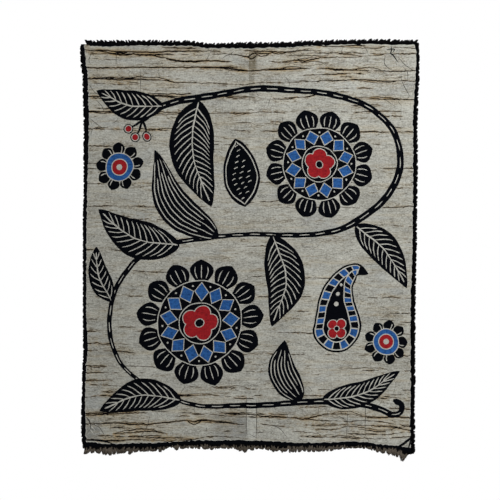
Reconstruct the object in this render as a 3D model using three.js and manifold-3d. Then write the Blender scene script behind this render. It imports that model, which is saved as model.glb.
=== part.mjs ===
// A batik wall hanging: one cotton cloth that hangs from its top edge, with its four edges left raw and frayed.
// Millimetres, +Z up. The front faces -Y. The origin is the middle of the cloth's top edge, where it is held.
// The dyed picture is colour alone, so the solids carry the cloth's outline, its waves and its folds.
import * as THREE from "three";
import { mergeVertices } from "three/addons/utils/BufferGeometryUtils.js";
import Module from "manifold-3d";

const wasm = await Module();
wasm.setup();

// Driving dimensions
const WIDTH = 702; // between the raw side edges, at mid height
const DROP = 853; // from the top edge to the bottom edge, in the middle
const CLOTH_THICK = 1.5;
const COLUMNS = 28; // even steps across the cloth, besides the lines at its folds
const ROWS = 34;
const CREASE_HALF = 9; // the cloth bends at this distance on each side of a fold's line too
const FOLD_FADE = 0.7; // where along its half length a fold starts to fade out
const CORNER = 20; // bare cloth between the left corner and the first tuft of the top edge
const STRIP_GAP = 0.3;
const STRIP_WIDTH = 2.2; // the band of threads that still hold together beyond each edge
const STRIP_THICK = 1.2;
const LOCK_DEPTH = 1.4; // how deep a lock's root sits in its strip
const LOCK_THICK = 1.6;
const LOCK_SIDES = 3;
const LOCK_STEPS = 2;
const TIP_SHARE = 0.3; // a lock's width at its tip, as a share of its root

// Outline: how far each edge strays from the plain rectangle. Positions and offsets are in millimetres.
const TOP_RISE = [
  { x: -351, rise: 8 },
  { x: -134, rise: 7 },
  { x: -82, rise: -1 },
  { x: 0, rise: 0 },
  { x: 72, rise: 2 },
  { x: 123, rise: 5 },
  { x: 226, rise: 8 },
  { x: 351, rise: 7 },
];
const BOTTOM_RISE = [
  { x: -351, rise: -5 },
  { x: -190, rise: -4 },
  { x: -145, rise: 2 },
  { x: -20, rise: 0 },
  { x: 84, rise: -2 },
  { x: 240, rise: 0 },
  { x: 303, rise: -6 },
  { x: 351, rise: -16 },
];
const LEFT_OUT = [
  { z: 8, out: 5 },
  { z: -34, out: 9 },
  { z: -72, out: 0 },
  { z: -350, out: 0 },
  { z: -620, out: 2 },
  { z: -780, out: 5 },
  { z: -853, out: 4 },
];
const RIGHT_OUT = [
  { z: 8, out: 6 },
  { z: -65, out: 4 },
  { z: -150, out: 1 },
  { z: -420, out: -1 },
  { z: -640, out: -3 },
  { z: -780, out: -6 },
  { z: -870, out: -4 },
];

// Waves: a sine across and down the cloth. hold is the share of its depth that is left at the top edge.
const WAVES = [
  { across: 330, down: 2600, depth: 3.4, shift: 0.5, hold: 0.3 },
  { across: 176, down: -1900, depth: 1.3, shift: 2.1, hold: 0.5 },
  { across: 900, down: 640, depth: 2.2, shift: 1.2, hold: 0.2 },
];
// Folds from storage: a ridge towards the viewer along a line, with a soft flank on each side.
// A fold along "z" runs down the cloth at x = at, and one along "x" runs across it at z = at.
const FOLDS = [
  { along: "z", at: -3, before: 70, after: 20, rise: 3.2, from: 20, to: -330 },
  { along: "z", at: -3, before: 18, after: 60, rise: 2.6, from: -520, to: -900 },
  { along: "z", at: 182, before: 50, after: 34, rise: 1.5, from: 20, to: -900 },
  { along: "x", at: -432, before: 40, after: 40, rise: 1.8, from: -380, to: 380 },
];
// Corners that lift off the wall as a raw cloth's corners do.
const CURLS = [
  { x: 347, z: -869, reach: 150, lift: 8 },
  { x: -351, z: -858, reach: 110, lift: 4.5 },
  { x: -356, z: 8, reach: 70, lift: 2.5 },
];

// Loose threads beyond each edge: how long they are, and how far they lean to the right (or up) for each
// millimetre of length, at places along the edge. Under the bottom edge they are longest at its two corners.
const THREADS = {
  top: [
    { x: -270, length: 6.4, lean: -0.75 },
    { x: -225, length: 6.4, lean: 0.65 },
    { x: 351, length: 6.4, lean: 0.8 },
  ],
  bottom: [
    { x: -351, length: 8, lean: -0.15 },
    { x: -312, length: 14, lean: 0 },
    { x: -261, length: 11, lean: -0.1 },
    { x: -235, length: 4, lean: -0.2 },
    { x: -158, length: 8, lean: -0.1 },
    { x: -120, length: 5, lean: 0.1 },
    { x: 21, length: 4, lean: 0 },
    { x: 73, length: 11, lean: -0.15 },
    { x: 150, length: 10, lean: -0.2 },
    { x: 227, length: 4, lean: -0.1 },
    { x: 290, length: 9, lean: -0.1 },
    { x: 334, length: 19, lean: -0.1 },
    { x: 342, length: 3, lean: 0 },
  ],
  left: [{ x: -351, length: 2.6, lean: -0.25 }],
  right: [{ x: 351, length: 2.9, lean: 0.3 }],
};
const FRINGES = [
  { name: "top_fringe", side: "top", locks: 80, width: 6.2 },
  { name: "bottom_fringe", side: "bottom", locks: 84, width: 7.4 },
  { name: "left_fringe", side: "left", locks: 60, width: 8.4 },
  { name: "right_fringe", side: "right", locks: 60, width: 8.4 },
];
// How much one lock differs from the next: shares of its spacing, length and width, its lean, and its curl.
const VARY = { place: 0.18, length: 0.22, width: 0.15, lean: 0.18, curl: 0.9 };

const COTTON = { color: 0x9f9c91, roughness: 0.9, metalness: 0 };
const BLACK_YARN = { color: 0x0d0c10, roughness: 0.95, metalness: 0 };
const GREY_YARN = { color: 0x433e38, roughness: 0.95, metalness: 0 };

// Value of a table's column at a place, eased between the two nearest rows and held flat past its ends.
function eased(table, key, at, column) {
  const rows = [...table].sort((a, b) => a[key] - b[key]);
  if (at <= rows[0][key]) return rows[0][column];
  const next = rows.findIndex((row) => row[key] >= at);
  if (next < 0) return rows[rows.length - 1][column];
  const [low, high] = [rows[next - 1], rows[next]];
  const share = (at - low[key]) / (high[key] - low[key]);
  return THREE.MathUtils.lerp(low[column], high[column], THREE.MathUtils.smoothstep(share, 0, 1));
}

// A number from -1 to 1 that looks random and is the same on each run.
function scatter(index, series) {
  const wave = Math.sin(index * 12.9898 + series * 78.233) * 43758.5453;
  return 2 * (wave - Math.floor(wave)) - 1;
}

// How far the cloth stands towards the viewer at one place of its face.
function forward(x, z) {
  const down = THREE.MathUtils.clamp(-z / DROP, 0, 1);
  let height = 0;
  for (const wave of WAVES) {
    const phase = 2 * Math.PI * (x / wave.across + z / wave.down) + wave.shift;
    height += wave.depth * Math.sin(phase) * THREE.MathUtils.lerp(wave.hold, 1, down);
  }
  for (const fold of FOLDS) {
    const [across, run] = fold.along === "z" ? [x, z] : [z, x];
    const middle = (fold.from + fold.to) / 2;
    const half = Math.abs(fold.to - fold.from) / 2;
    const fade = 1 - THREE.MathUtils.smoothstep(Math.abs(run - middle), FOLD_FADE * half, half);
    const flank = across < fold.at ? fold.before : fold.after;
    height += fold.rise * fade * Math.max(0, 1 - Math.abs(across - fold.at) / flank) ** 2;
  }
  for (const curl of CURLS) {
    const near = 1 - Math.min(1, Math.hypot(x - curl.x, z - curl.z) / curl.reach);
    height += curl.lift * near * near;
  }
  return height;
}

const REST = forward(0, 0);

// The middle of the cloth's thickness, from its shares across (0 left, 1 right) and down (0 top, 1 bottom).
function clothPoint(across, down) {
  const plainX = (across - 0.5) * WIDTH;
  const plainZ = -down * DROP;
  const left = -WIDTH / 2 - eased(LEFT_OUT, "z", plainZ, "out");
  const right = WIDTH / 2 + eased(RIGHT_OUT, "z", plainZ, "out");
  const top = eased(TOP_RISE, "x", plainX, "rise");
  const bottom = -DROP + eased(BOTTOM_RISE, "x", plainX, "rise");
  const x = THREE.MathUtils.lerp(left, right, across);
  const z = THREE.MathUtils.lerp(top, bottom, down);
  return new THREE.Vector3(x, REST - forward(x, z), z);
}

// Shares across or down the cloth where its grid lines lie: even steps, moved aside for the lines given.
function gridShares(size, steps, lines) {
  const pitch = size / steps;
  const even = Array.from({ length: steps - 1 }, (_, i) => (i + 1) * pitch);
  const clear = even.filter((step) => lines.every((line) => Math.abs(step - line) > pitch / 2));
  return [0, ...clear, ...lines, size].sort((a, b) => a - b).map((place) => place / size);
}

// The folds that run one way, each as its line and the two places where its flanks level out.
function foldLines(way, place) {
  const folds = new Set(FOLDS.filter((fold) => fold.along === way).map((fold) => place(fold.at)));
  return [...folds].flatMap((line) => [line - CREASE_HALF, line, line + CREASE_HALF]);
}

const columnLines = foldLines("z", (x) => x + WIDTH / 2);
const columnShares = gridShares(WIDTH, COLUMNS, [CORNER, ...columnLines]);
const rowShares = gridShares(DROP, ROWS, foldLines("x", (z) => -z));

// Moves each vertex of a geometry and joins the ones that meet, so that the mesh is one closed surface.
function reshape(geometry, move) {
  geometry.deleteAttribute("normal");
  geometry.deleteAttribute("uv");
  const places = geometry.getAttribute("position");
  const point = new THREE.Vector3();
  for (let i = 0; i < places.count; i++) {
    point.fromBufferAttribute(places, i);
    const moved = move(point);
    places.setXYZ(i, moved.x, moved.y, moved.z);
  }
  const merged = mergeVertices(geometry, 1e-3);
  merged.computeVertexNormals();
  return merged;
}

// A surface that a mirrored edge has turned inside out gets its faces turned back.
function toSolid(geometry) {
  const triVerts = new Uint32Array(geometry.index.array);
  const vertProperties = new Float32Array(geometry.getAttribute("position").array);
  const solid = new wasm.Manifold(new wasm.Mesh({ numProp: 3, vertProperties, triVerts }));
  if (solid.volume() > 0) return solid;
  for (let i = 0; i < triVerts.length; i += 3) {
    [triVerts[i + 1], triVerts[i + 2]] = [triVerts[i + 2], triVerts[i + 1]];
  }
  return new wasm.Manifold(new wasm.Mesh({ numProp: 3, vertProperties, triVerts }));
}

function toGeometry(solid) {
  const mesh = solid.getMesh();
  const geometry = new THREE.BufferGeometry();
  geometry.setAttribute("position", new THREE.BufferAttribute(mesh.vertProperties, 3));
  geometry.setIndex(new THREE.BufferAttribute(mesh.triVerts, 1));
  geometry.computeVertexNormals();
  return geometry;
}

// The cloth: a thin block with a grid on both faces, laid on the hanging shape.
function clothGeometry() {
  const columns = columnShares.length - 1;
  const rows = rowShares.length - 1;
  const block = new THREE.BoxGeometry(columns, CLOTH_THICK, rows, columns, 1, rows);
  return reshape(block, (p) => {
    const column = Math.round(p.x + columns / 2);
    const row = Math.round(rows / 2 - p.z);
    const place = clothPoint(columnShares[column], rowShares[row]);
    return place.add(new THREE.Vector3(0, p.y, 0));
  });
}

// The four edges: the place of a share along each, the way out of the cloth, its size and its grid lines.
const EDGES = {
  top: { at: (s) => clothPoint(s, 0), out: [0, 1], size: WIDTH, shares: columnShares.slice(1) },
  bottom: { at: (s) => clothPoint(s, 1), out: [0, -1], size: WIDTH, shares: columnShares },
  left: { at: (s) => clothPoint(0, s), out: [-1, 0], size: DROP, shares: rowShares },
  right: { at: (s) => clothPoint(1, s), out: [1, 0], size: DROP, shares: rowShares },
};

// The cloth's edge at a share along it, straight between two grid lines as the cloth is.
function edgePoint(edge, share) {
  const { shares } = edge;
  const held = THREE.MathUtils.clamp(share, shares[0], shares[shares.length - 1]);
  const next = Math.max(1, shares.findIndex((line) => line >= held));
  const step = (held - shares[next - 1]) / (shares[next] - shares[next - 1]);
  return edge.at(shares[next - 1]).lerp(edge.at(shares[next]), step);
}

// A place beside an edge: at a share along it, so far out of the cloth, so far sideways and so far back.
function beside(edge, share, out, lean, back) {
  const point = edgePoint(edge, share);
  const [outX, outZ] = edge.out;
  point.x += out * outX + lean * Math.abs(outZ);
  point.z += out * outZ + lean * Math.abs(outX);
  point.y += back;
  return point;
}

// The strip runs along the whole edge, one narrow band just off the cloth.
function stripGeometry(edge) {
  const steps = edge.shares.length - 1;
  const band = new THREE.BoxGeometry(steps, STRIP_THICK, STRIP_WIDTH, steps, 1, 1);
  return reshape(band, (p) => {
    const share = edge.shares[Math.round(p.x + steps / 2)];
    const out = STRIP_GAP + STRIP_WIDTH / 2 + p.z;
    return beside(edge, share, out, 0, p.y);
  });
}

// A lock is a flat tapered bunch of threads that leans and curls a little towards its tip.
// Its place is a share of the strip between its two end locks.
function lockGeometry(edge, fringe, index) {
  const inset = fringe.width / 2 / edge.size;
  const first = edge.shares[0] + inset;
  const last = edge.shares[edge.shares.length - 1] - inset;
  const place = (index + 0.5 + VARY.place * scatter(index, 1)) / fringe.locks;
  const share = THREE.MathUtils.lerp(first, last, place);
  const root = edgePoint(edge, share);
  const threads = THREADS[fringe.side];
  const loose = eased(threads, "x", root.x, "length") * (1 + VARY.length * scatter(index, 2));
  const length = loose + LOCK_DEPTH;
  const width = fringe.width * (1 + VARY.width * scatter(index, 3));
  const lean = eased(threads, "x", root.x, "lean") + VARY.lean * scatter(index, 4);
  const curl = VARY.curl * scatter(index, 5);
  const start = STRIP_GAP + STRIP_WIDTH - LOCK_DEPTH;
  const bunch = new THREE.CylinderGeometry(TIP_SHARE, 1, length, LOCK_SIDES, LOCK_STEPS);
  return reshape(bunch, (p) => {
    const out = p.y + length / 2;
    const along = (p.x * width) / 2 / edge.size;
    const back = (p.z * LOCK_THICK) / 2 + curl * (out / length) ** 2;
    return beside(edge, share + along, start + out, lean * out, back);
  });
}

function fringeGeometry(fringe) {
  const edge = EDGES[fringe.side];
  let whole = toSolid(stripGeometry(edge));
  for (let i = 0; i < fringe.locks; i++) {
    whole = whole.add(toSolid(lockGeometry(edge, fringe, i)));
  }
  return toGeometry(whole);
}

function piece(name, geometry, finish) {
  const mesh = new THREE.Mesh(geometry, new THREE.MeshStandardMaterial(finish));
  mesh.name = name;
  return mesh;
}

const hanging = new THREE.Group();
hanging.add(piece("cloth", clothGeometry(), COTTON));
for (const fringe of FRINGES) {
  const yarn = fringe.side === "bottom" ? GREY_YARN : BLACK_YARN;
  hanging.add(piece(fringe.name, fringeGeometry(fringe), yarn));
}

export default hanging;
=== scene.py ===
# %% [markdown]
# A batik wall hanging. Batik is cotton that is painted with hot wax and then dyed: where the wax lies
# the cloth stays pale, and where the stiff wax cracks the dye creeps in as fine dark lines. This lesson
# builds the hanging in six steps: the camera, the cloth's hanging shape, the drawing as a mesh, the
# dyes as one material, the frayed threads of the four edges, and the studio. Lengths are millimetres
# until a mesh is made, then metres.

# %% Load the solids and the tools
import math

import bpy
import numpy as np
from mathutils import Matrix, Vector
from mathutils.geometry import delaunay_2d_cdt


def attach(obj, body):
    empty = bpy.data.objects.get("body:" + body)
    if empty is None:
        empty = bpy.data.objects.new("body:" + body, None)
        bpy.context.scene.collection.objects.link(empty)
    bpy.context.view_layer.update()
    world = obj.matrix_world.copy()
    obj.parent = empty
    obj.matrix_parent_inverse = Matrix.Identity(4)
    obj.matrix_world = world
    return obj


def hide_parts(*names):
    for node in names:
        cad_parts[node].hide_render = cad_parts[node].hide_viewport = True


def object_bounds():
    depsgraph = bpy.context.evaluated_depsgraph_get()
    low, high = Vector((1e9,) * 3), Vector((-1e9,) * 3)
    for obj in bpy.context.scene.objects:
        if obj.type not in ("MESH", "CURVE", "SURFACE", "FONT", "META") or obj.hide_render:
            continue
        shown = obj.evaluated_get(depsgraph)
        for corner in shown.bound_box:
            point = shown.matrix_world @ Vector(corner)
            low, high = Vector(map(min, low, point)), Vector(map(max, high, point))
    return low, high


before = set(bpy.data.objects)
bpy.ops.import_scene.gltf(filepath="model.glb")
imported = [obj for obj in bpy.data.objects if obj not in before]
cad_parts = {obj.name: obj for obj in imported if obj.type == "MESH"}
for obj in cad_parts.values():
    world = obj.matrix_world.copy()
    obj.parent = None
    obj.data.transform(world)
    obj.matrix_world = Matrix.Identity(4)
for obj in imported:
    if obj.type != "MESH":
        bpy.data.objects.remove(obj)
cad_low, cad_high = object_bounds()
MM = 0.001
print("solids:", sorted(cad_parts), "box", list(cad_low), list(cad_high))

# %% [markdown]
# The photograph looks straight at the cloth, so the camera stands level with the frame's middle and far
# enough away that the sheet shows no perspective. The lens then follows from how much the frame spans.

# %% Camera
MM_PER_PIXEL = 2.14
PHOTO_PIXELS = 500
ORIGIN_PIXEL = {"across": 250.5, "down": 47.5}  # where the middle of the cloth's top edge lies
CAMERA_DISTANCE = 3.2
SENSOR = 36.0

camera_data = bpy.data.cameras.new("camera")
camera = bpy.data.objects.new("camera", camera_data)
bpy.context.scene.collection.objects.link(camera)
bpy.context.scene.camera = camera
camera_data.sensor_width = SENSOR
camera_data.lens = SENSOR * CAMERA_DISTANCE / (PHOTO_PIXELS * MM_PER_PIXEL * MM)
half_frame = PHOTO_PIXELS / 2
camera.location = (
    (half_frame - ORIGIN_PIXEL["across"]) * MM_PER_PIXEL * MM,
    -CAMERA_DISTANCE,
    (ORIGIN_PIXEL["down"] - half_frame) * MM_PER_PIXEL * MM,
)
camera.rotation_euler = (math.pi / 2, 0, 0)
print("camera at", tuple(round(v, 3) for v in camera.location), "lens", round(camera_data.lens, 1))

# %% [markdown]
# The cloth's shape comes first, because all else lies on it. Its four raw edges stray from a plain
# rectangle, and so does the inner edge of the black border that is dyed along them. Its face has slow
# waves, the folds of a cloth that was stored folded, and corners that lift. A few rows for each are
# enough, and they say the same as the solid does. Cloth simulation would move the edges away from the
# photograph, so the folds are listed one by one.

# %% Hanging shape
WIDTH = 702
DROP = 853
CLOTH_THICK = 0.7

# How far each edge lies outside a plain rectangle, at places along it.
RAW_EDGES = {
    "top": {"at": (-351, -300, -215, -134, -82, 0, 72, 123, 226, 300, 351),
            "shift": (7, 7, 8, 8, 3, 2, 5, 8, 11, 10, 10)},
    "bottom": {"at": (-351, -190, -145, -20, 84, 240, 303, 351), "shift": (-5, -4, 2, 0, -2, 0, -6, -16)},
    "left": {"at": (-853, -819, -776, -712, -647, -583, -412, -241, -177, -70, -37, -10, 8),
             "shift": (4, 7, 8, 7, 3, 5, 5, 1, 0, 2, 6.5, 9, 7)},
    "right": {"at": (-870, -819, -712, -583, -412, -241, -177, -112, -70, -37, 8),
              "shift": (-5, -5.5, -4, -4.5, -0.5, 1, 0, 2, 5, 7, 5)},
}
DYED_EDGES = {
    "top": {"at": (-351, -342, -338, -300, -215, -134, -82, 0, 46, 90, 130, 217, 260, 300, 351),
            "shift": (9, 9, 3, 2.5, 4, 4, -1, -2, 0.5, 1, 4.5, 7, 7.5, 6, 6)},
    "bottom": {"at": (-351, -301, -236, -172, -108, -20, 3, 60, 110, 174, 217, 250, 299, 351),
               "shift": (8.5, 4, 6, 8, 12, 12, 11, 9.5, 7, 8, 10.5, 9, 2.5, -2)},
    "left": {"at": (-853, -819, -776, -712, -647, -583, -412, -326, -241, -177, -70, -37, -10, 8),
             "shift": (0.8, 2.2, 4.2, 2.6, -2.2, 0.9, 0.3, -1, -3.7, -4.9, -2.7, 1.9, 4.6, 4.1)},
    "right": {"at": (-870, -819, -712, -583, -412, -241, -177, -112, -70, -37, 8),
              "shift": (-9, -9, -7.5, -8, -4, -2.5, -3.5, -1.5, 1.5, 3.5, 1)},
}

WAVES = [
    dict(across=330, down=2600, depth=3.4, shift=0.5, hold=0.3),
    dict(across=176, down=-1900, depth=1.3, shift=2.1, hold=0.5),
    dict(across=900, down=640, depth=2.2, shift=1.2, hold=0.2),
]
FOLDS = [
    dict(along="z", at=-3, before=70, after=20, rise=3.2, start=20, end=-330),
    dict(along="z", at=-3, before=18, after=60, rise=2.6, start=-520, end=-900),
    dict(along="z", at=182, before=50, after=34, rise=1.5, start=20, end=-900),
    dict(along="x", at=-432, before=40, after=40, rise=1.8, start=-380, end=380),
]
CURLS = [
    dict(x=347, z=-869, reach=150, lift=8),
    dict(x=-351, z=-858, reach=110, lift=4.5),
    dict(x=-356, z=8, reach=70, lift=2.5),
]
FOLD_FADE = 0.7  # the share of a fold that keeps its full height


def ease(share):
    share = np.clip(share, 0, 1)
    return share * share * (3 - 2 * share)


def eased(table, at, column="shift"):
    """A table's column at any place, with soft bends between its rows."""
    places, values = np.array(table["at"], float), np.array(table[column], float)
    low = np.clip(np.searchsorted(places, at) - 1, 0, len(places) - 2)
    share = (at - places[low]) / (places[low + 1] - places[low])
    return values[low] + (values[low + 1] - values[low]) * ease(share)


def forward(x, z):
    """How far the cloth stands towards the viewer."""
    down = np.clip(-z / DROP, 0, 1)
    height = np.zeros_like(x)
    for wave in WAVES:
        phase = 2 * np.pi * (x / wave["across"] + z / wave["down"]) + wave["shift"]
        height += wave["depth"] * np.sin(phase) * (wave["hold"] + (1 - wave["hold"]) * down)
    for fold in FOLDS:
        across, run = (x, z) if fold["along"] == "z" else (z, x)
        middle, half = (fold["start"] + fold["end"]) / 2, abs(fold["end"] - fold["start"]) / 2
        fade = 1 - ease((np.abs(run - middle) - FOLD_FADE * half) / ((1 - FOLD_FADE) * half))
        flank = np.where(across < fold["at"], fold["before"], fold["after"])
        height += fold["rise"] * fade * np.maximum(0, 1 - np.abs(across - fold["at"]) / flank) ** 2
    for curl in CURLS:
        near = 1 - np.minimum(1, np.hypot(x - curl["x"], z - curl["z"]) / curl["reach"])
        height += curl["lift"] * near**2
    return height


REST = float(forward(np.zeros(1), np.zeros(1))[0])


def spread(across, down, edges=RAW_EDGES):
    """Where a share of the width and of the drop lies between four uneven edges, as x and z."""
    plain_x, plain_z = (across - 0.5) * WIDTH, -down * DROP
    left = -WIDTH / 2 - eased(edges["left"], plain_z)
    right = WIDTH / 2 + eased(edges["right"], plain_z)
    top, bottom = eased(edges["top"], plain_x), -DROP + eased(edges["bottom"], plain_x)
    return left + (right - left) * across, top + (bottom - top) * down


anywhere = np.random.default_rng(1).random((2, 4000))
print("waves reach", round(float(np.ptp(forward(*spread(*anywhere)))), 1), "mm")

# %% [markdown]
# The drawing is made of closed shapes, laid down in order as a batik maker lays wax and dye: each new
# shape covers what is under it. Every shape is a loop of points in the cloth's own plane. A pen line is
# never quite straight, so each loop passes through the same small, smooth unevenness before it is kept.
# Making the drawing as geometry, and not as an image, keeps its edges crisp at any distance.

# %% Dyes, loops and the unsteady hand
GROUND, BLACK, BLUE, RED, WAX, CRACK, HAIR = range(7)
loops = []

# Waves of the hand: how far each pushes, and how many radians it turns a millimetre along x and z.
HAND = [
    dict(push=1.9, x=0.0, z=1 / 41, turn=1.3),
    dict(push=0.9, x=1 / 17, z=1 / 23, turn=0.0),
    dict(push=0.35, x=1 / 9, z=1 / 6.1, turn=2.0),
]


def unsteady(points):
    """The same points, pushed about a little as a hand-held wax pen would."""
    x, z = points[:, 0], points[:, 1]
    push_x = sum(h["push"] * np.sin(x * h["x"] + z * h["z"] + h["turn"]) for h in HAND)
    push_z = sum(h["push"] * np.sin(z * h["x"] - x * h["z"] + h["turn"] + 1) for h in HAND)
    return np.column_stack([x + push_x, z + push_z])


def dye(colour, points):
    """Lays one closed shape over what is drawn so far."""
    loops.append((colour, unsteady(np.asarray(points, float))))


def curve(knots, pitch=5.0):
    """A smooth line through a few knots, with a point about every pitch millimetres."""
    knots = np.asarray(knots, float)
    ends = np.vstack([2 * knots[0] - knots[1], knots, 2 * knots[-1] - knots[-2]])
    points = []
    for before, start, end, after in zip(ends, ends[1:], ends[2:], ends[3:]):
        steps = max(2, round(np.linalg.norm(end - start) / pitch))
        bend, twist = 2 * before - 5 * start + 4 * end - after, 3 * start - before - 3 * end + after
        for t in np.arange(steps) / steps:
            points.append(start + 0.5 * ((end - before) * t + bend * t**2 + twist * t**3))
    return np.array(points + [knots[-1]])


def sideways(line):
    """The unit direction to the left of a line, at each of its points."""
    run = np.gradient(line, axis=0)
    run /= np.maximum(np.linalg.norm(run, axis=1), 1e-9)[:, None]
    return np.column_stack([-run[:, 1], run[:, 0]])


def place(points, x, z, turn):
    """Points turned about the origin and moved."""
    c, s = math.cos(turn), math.sin(turn)
    return np.asarray(points, float) @ np.array([[c, s], [-s, c]]) + [x, z]


# %% [markdown]
# Two marks make nearly all of the drawing: a brush line whose width swells and thins, and a round spot.

# %% Brush line and spot
def stroke(colour, line, width, blunt=0.35):
    """A line that swells in two slow waves. blunt is how much of its width is left at its ends."""
    line = np.asarray(line, float)
    t = np.linspace(0, 1, len(line))
    swell = 1 + 0.2 * np.sin(7 * t + line[0, 0] / 9) + 0.12 * np.sin(23 * t + line[0, 1] / 7)
    ends = np.clip(np.minimum(t, 1 - t) * len(line) * 0.8 + blunt, 0, 1)
    offset = sideways(line) * (width * swell * ends / 2)[:, None]
    dye(colour, np.vstack([line + offset, (line - offset)[::-1]]))


def spot(colour, x, z, radius):
    """A round spot, with fewer sides where it is small."""
    sides = 6 if radius < 3 else max(9, round(radius * 1.1))
    turn = np.arange(sides) / sides * 2 * np.pi
    dye(colour, np.column_stack([x + radius * np.cos(turn), z + radius * np.sin(turn)]))


# %% [markdown]
# The wax on the open ground was crushed before the last dye bath, so it cracked across the cloth: long,
# nearly level lines that wander, thicken, fade and fork, each in an ochre stain. The main ones are
# listed from top to bottom, as rows of (x, z, darkness), and smaller ones are scattered,
# thickest near the top and bottom edges. They are drawn first, so that the motifs cover them. A crack
# is a narrow strip that is as wide as it is dark.

# %% Main cracks, upper half
CRACKS_ABOVE = [
    [(106, 2, 0.5), (200, 4, 0.6), (236, 3, 0.8), (280, 2, 0.5), (358, -1, 0.6)],
    [(-362, -5, 0.6), (-215, -10, 0.9), (-108, -5, 0.8), (-87, -6, 0.2), (-60, -8, 0.1)],
    [(-190, 2, 0.3), (-150, 0, 0.7), (-120, 1, 0.5), (-100, 2, 0.2)],
    [(-120, -16, 0.2), (-55, -14, 0.4), (-27, -16, 0.7), (-5, -21, 0.9), (3, -14, 0.9), (14, -11, 0.8),
     (25, -13, 0.9), (44, -12, 1.0), (60, -14, 0.5), (90, -8, 0.4), (150, -1, 0.3)],
    [(-9, -21, 0.8), (3, -26, 0.9), (12, -20, 0.8), (17, -14, 0.6)],
    [(-343, -13, 0.5), (-215, -16, 1.0), (-183, -22, 0.5), (-151, -29, 0.9), (-76, -29, 1.0),
     (-40, -30, 0.2)],
    [(127, -12, 0.5), (213, -11, 0.6), (240, -12, 0.2), (277, -13, 0.7), (358, -13, 0.6)],
    [(20, -24, 0.3), (59, -31, 0.6), (89, -29, 0.9), (120, -29, 0.7), (150, -22, 0.5), (202, -21, 0.6),
     (240, -18, 0.2)],
    [(60, -33, 0.4), (130, -30, 0.4), (190, -33, 0.3)],
    [(-362, -42, 0.9), (-236, -43, 0.9), (-108, -42, 0.8), (-54, -42, 0.8), (-3, -51, 0.8), (25, -47, 0.9),
     (75, -47, 1.0), (140, -44, 0.5), (181, -47, 1.0), (217, -47, 1.0), (256, -50, 0.7), (300, -51, 0.8),
     (358, -50, 0.9)],
    [(160, -57, 0.6), (215, -56, 0.5), (250, -58, 0.1)],
    [(-362, -67, 0.9), (-236, -68, 1.0), (-215, -70, 0.5), (-151, -75, 0.6), (-12, -81, 0.4),
     (16, -77, 0.6), (106, -73, 0.5), (181, -72, 0.6), (234, -70, 0.7), (268, -71, 1.0), (324, -71, 1.0),
     (358, -73, 0.6)],
    [(-362, -104, 0.7), (-236, -103, 1.0), (-183, -104, 0.9), (-108, -106, 0.6), (-55, -104, 0.6),
     (-20, -109, 0.6), (25, -110, 0.7), (75, -108, 0.6), (123, -106, 0.6), (160, -95, 0.3)],
    [(170, -111, 0.6), (213, -109, 0.6), (288, -110, 0.8), (358, -112, 0.6)],
    [(-340, -108, 0.8), (-290, -110, 0.6), (-240, -110, 0.2)],
    [(-362, -136, 0.7), (-269, -137, 0.6), (-140, -140, 0.6), (-119, -140, 0.6), (127, -138, 0.5),
     (192, -138, 0.4), (277, -136, 0.6), (358, -136, 0.7)],
    [(-362, -174, 0.7), (-247, -174, 0.6), (-160, -177, 0.3), (16, -177, 0.5), (127, -180, 0.5),
     (202, -180, 0.4), (288, -181, 0.8), (358, -181, 0.8)],
    [(-362, -211, 0.6), (-258, -211, 0.5), (-100, -208, 0.2), (288, -207, 0.5), (358, -207, 0.6)],
    [(-362, -247, 0.5), (-260, -249, 0.3), (-100, -252, 0.1), (200, -256, 0.3), (358, -258, 0.6)],
    [(-362, -258, 0.5), (-280, -259, 0.2)],
    [(250, -263, 0.4), (358, -264, 0.5)],
    [(-362, -290, 0.6), (-250, -290, 0.3), (0, -290, 0.1), (250, -289, 0.4), (358, -288, 0.5)],
    [(200, -302, 0.3), (358, -303, 0.6)],
    [(-362, -339, 0.6), (-260, -340, 0.4), (0, -342, 0.15), (250, -341, 0.4), (358, -342, 0.6)],
    [(-362, -361, 0.5), (-300, -364, 0.4), (-260, -367, 0.2), (200, -380, 0.2), (358, -382, 0.5)],
    [(200, -405, 0.2), (280, -403, 0.5), (358, -412, 0.5)],
]

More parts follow.
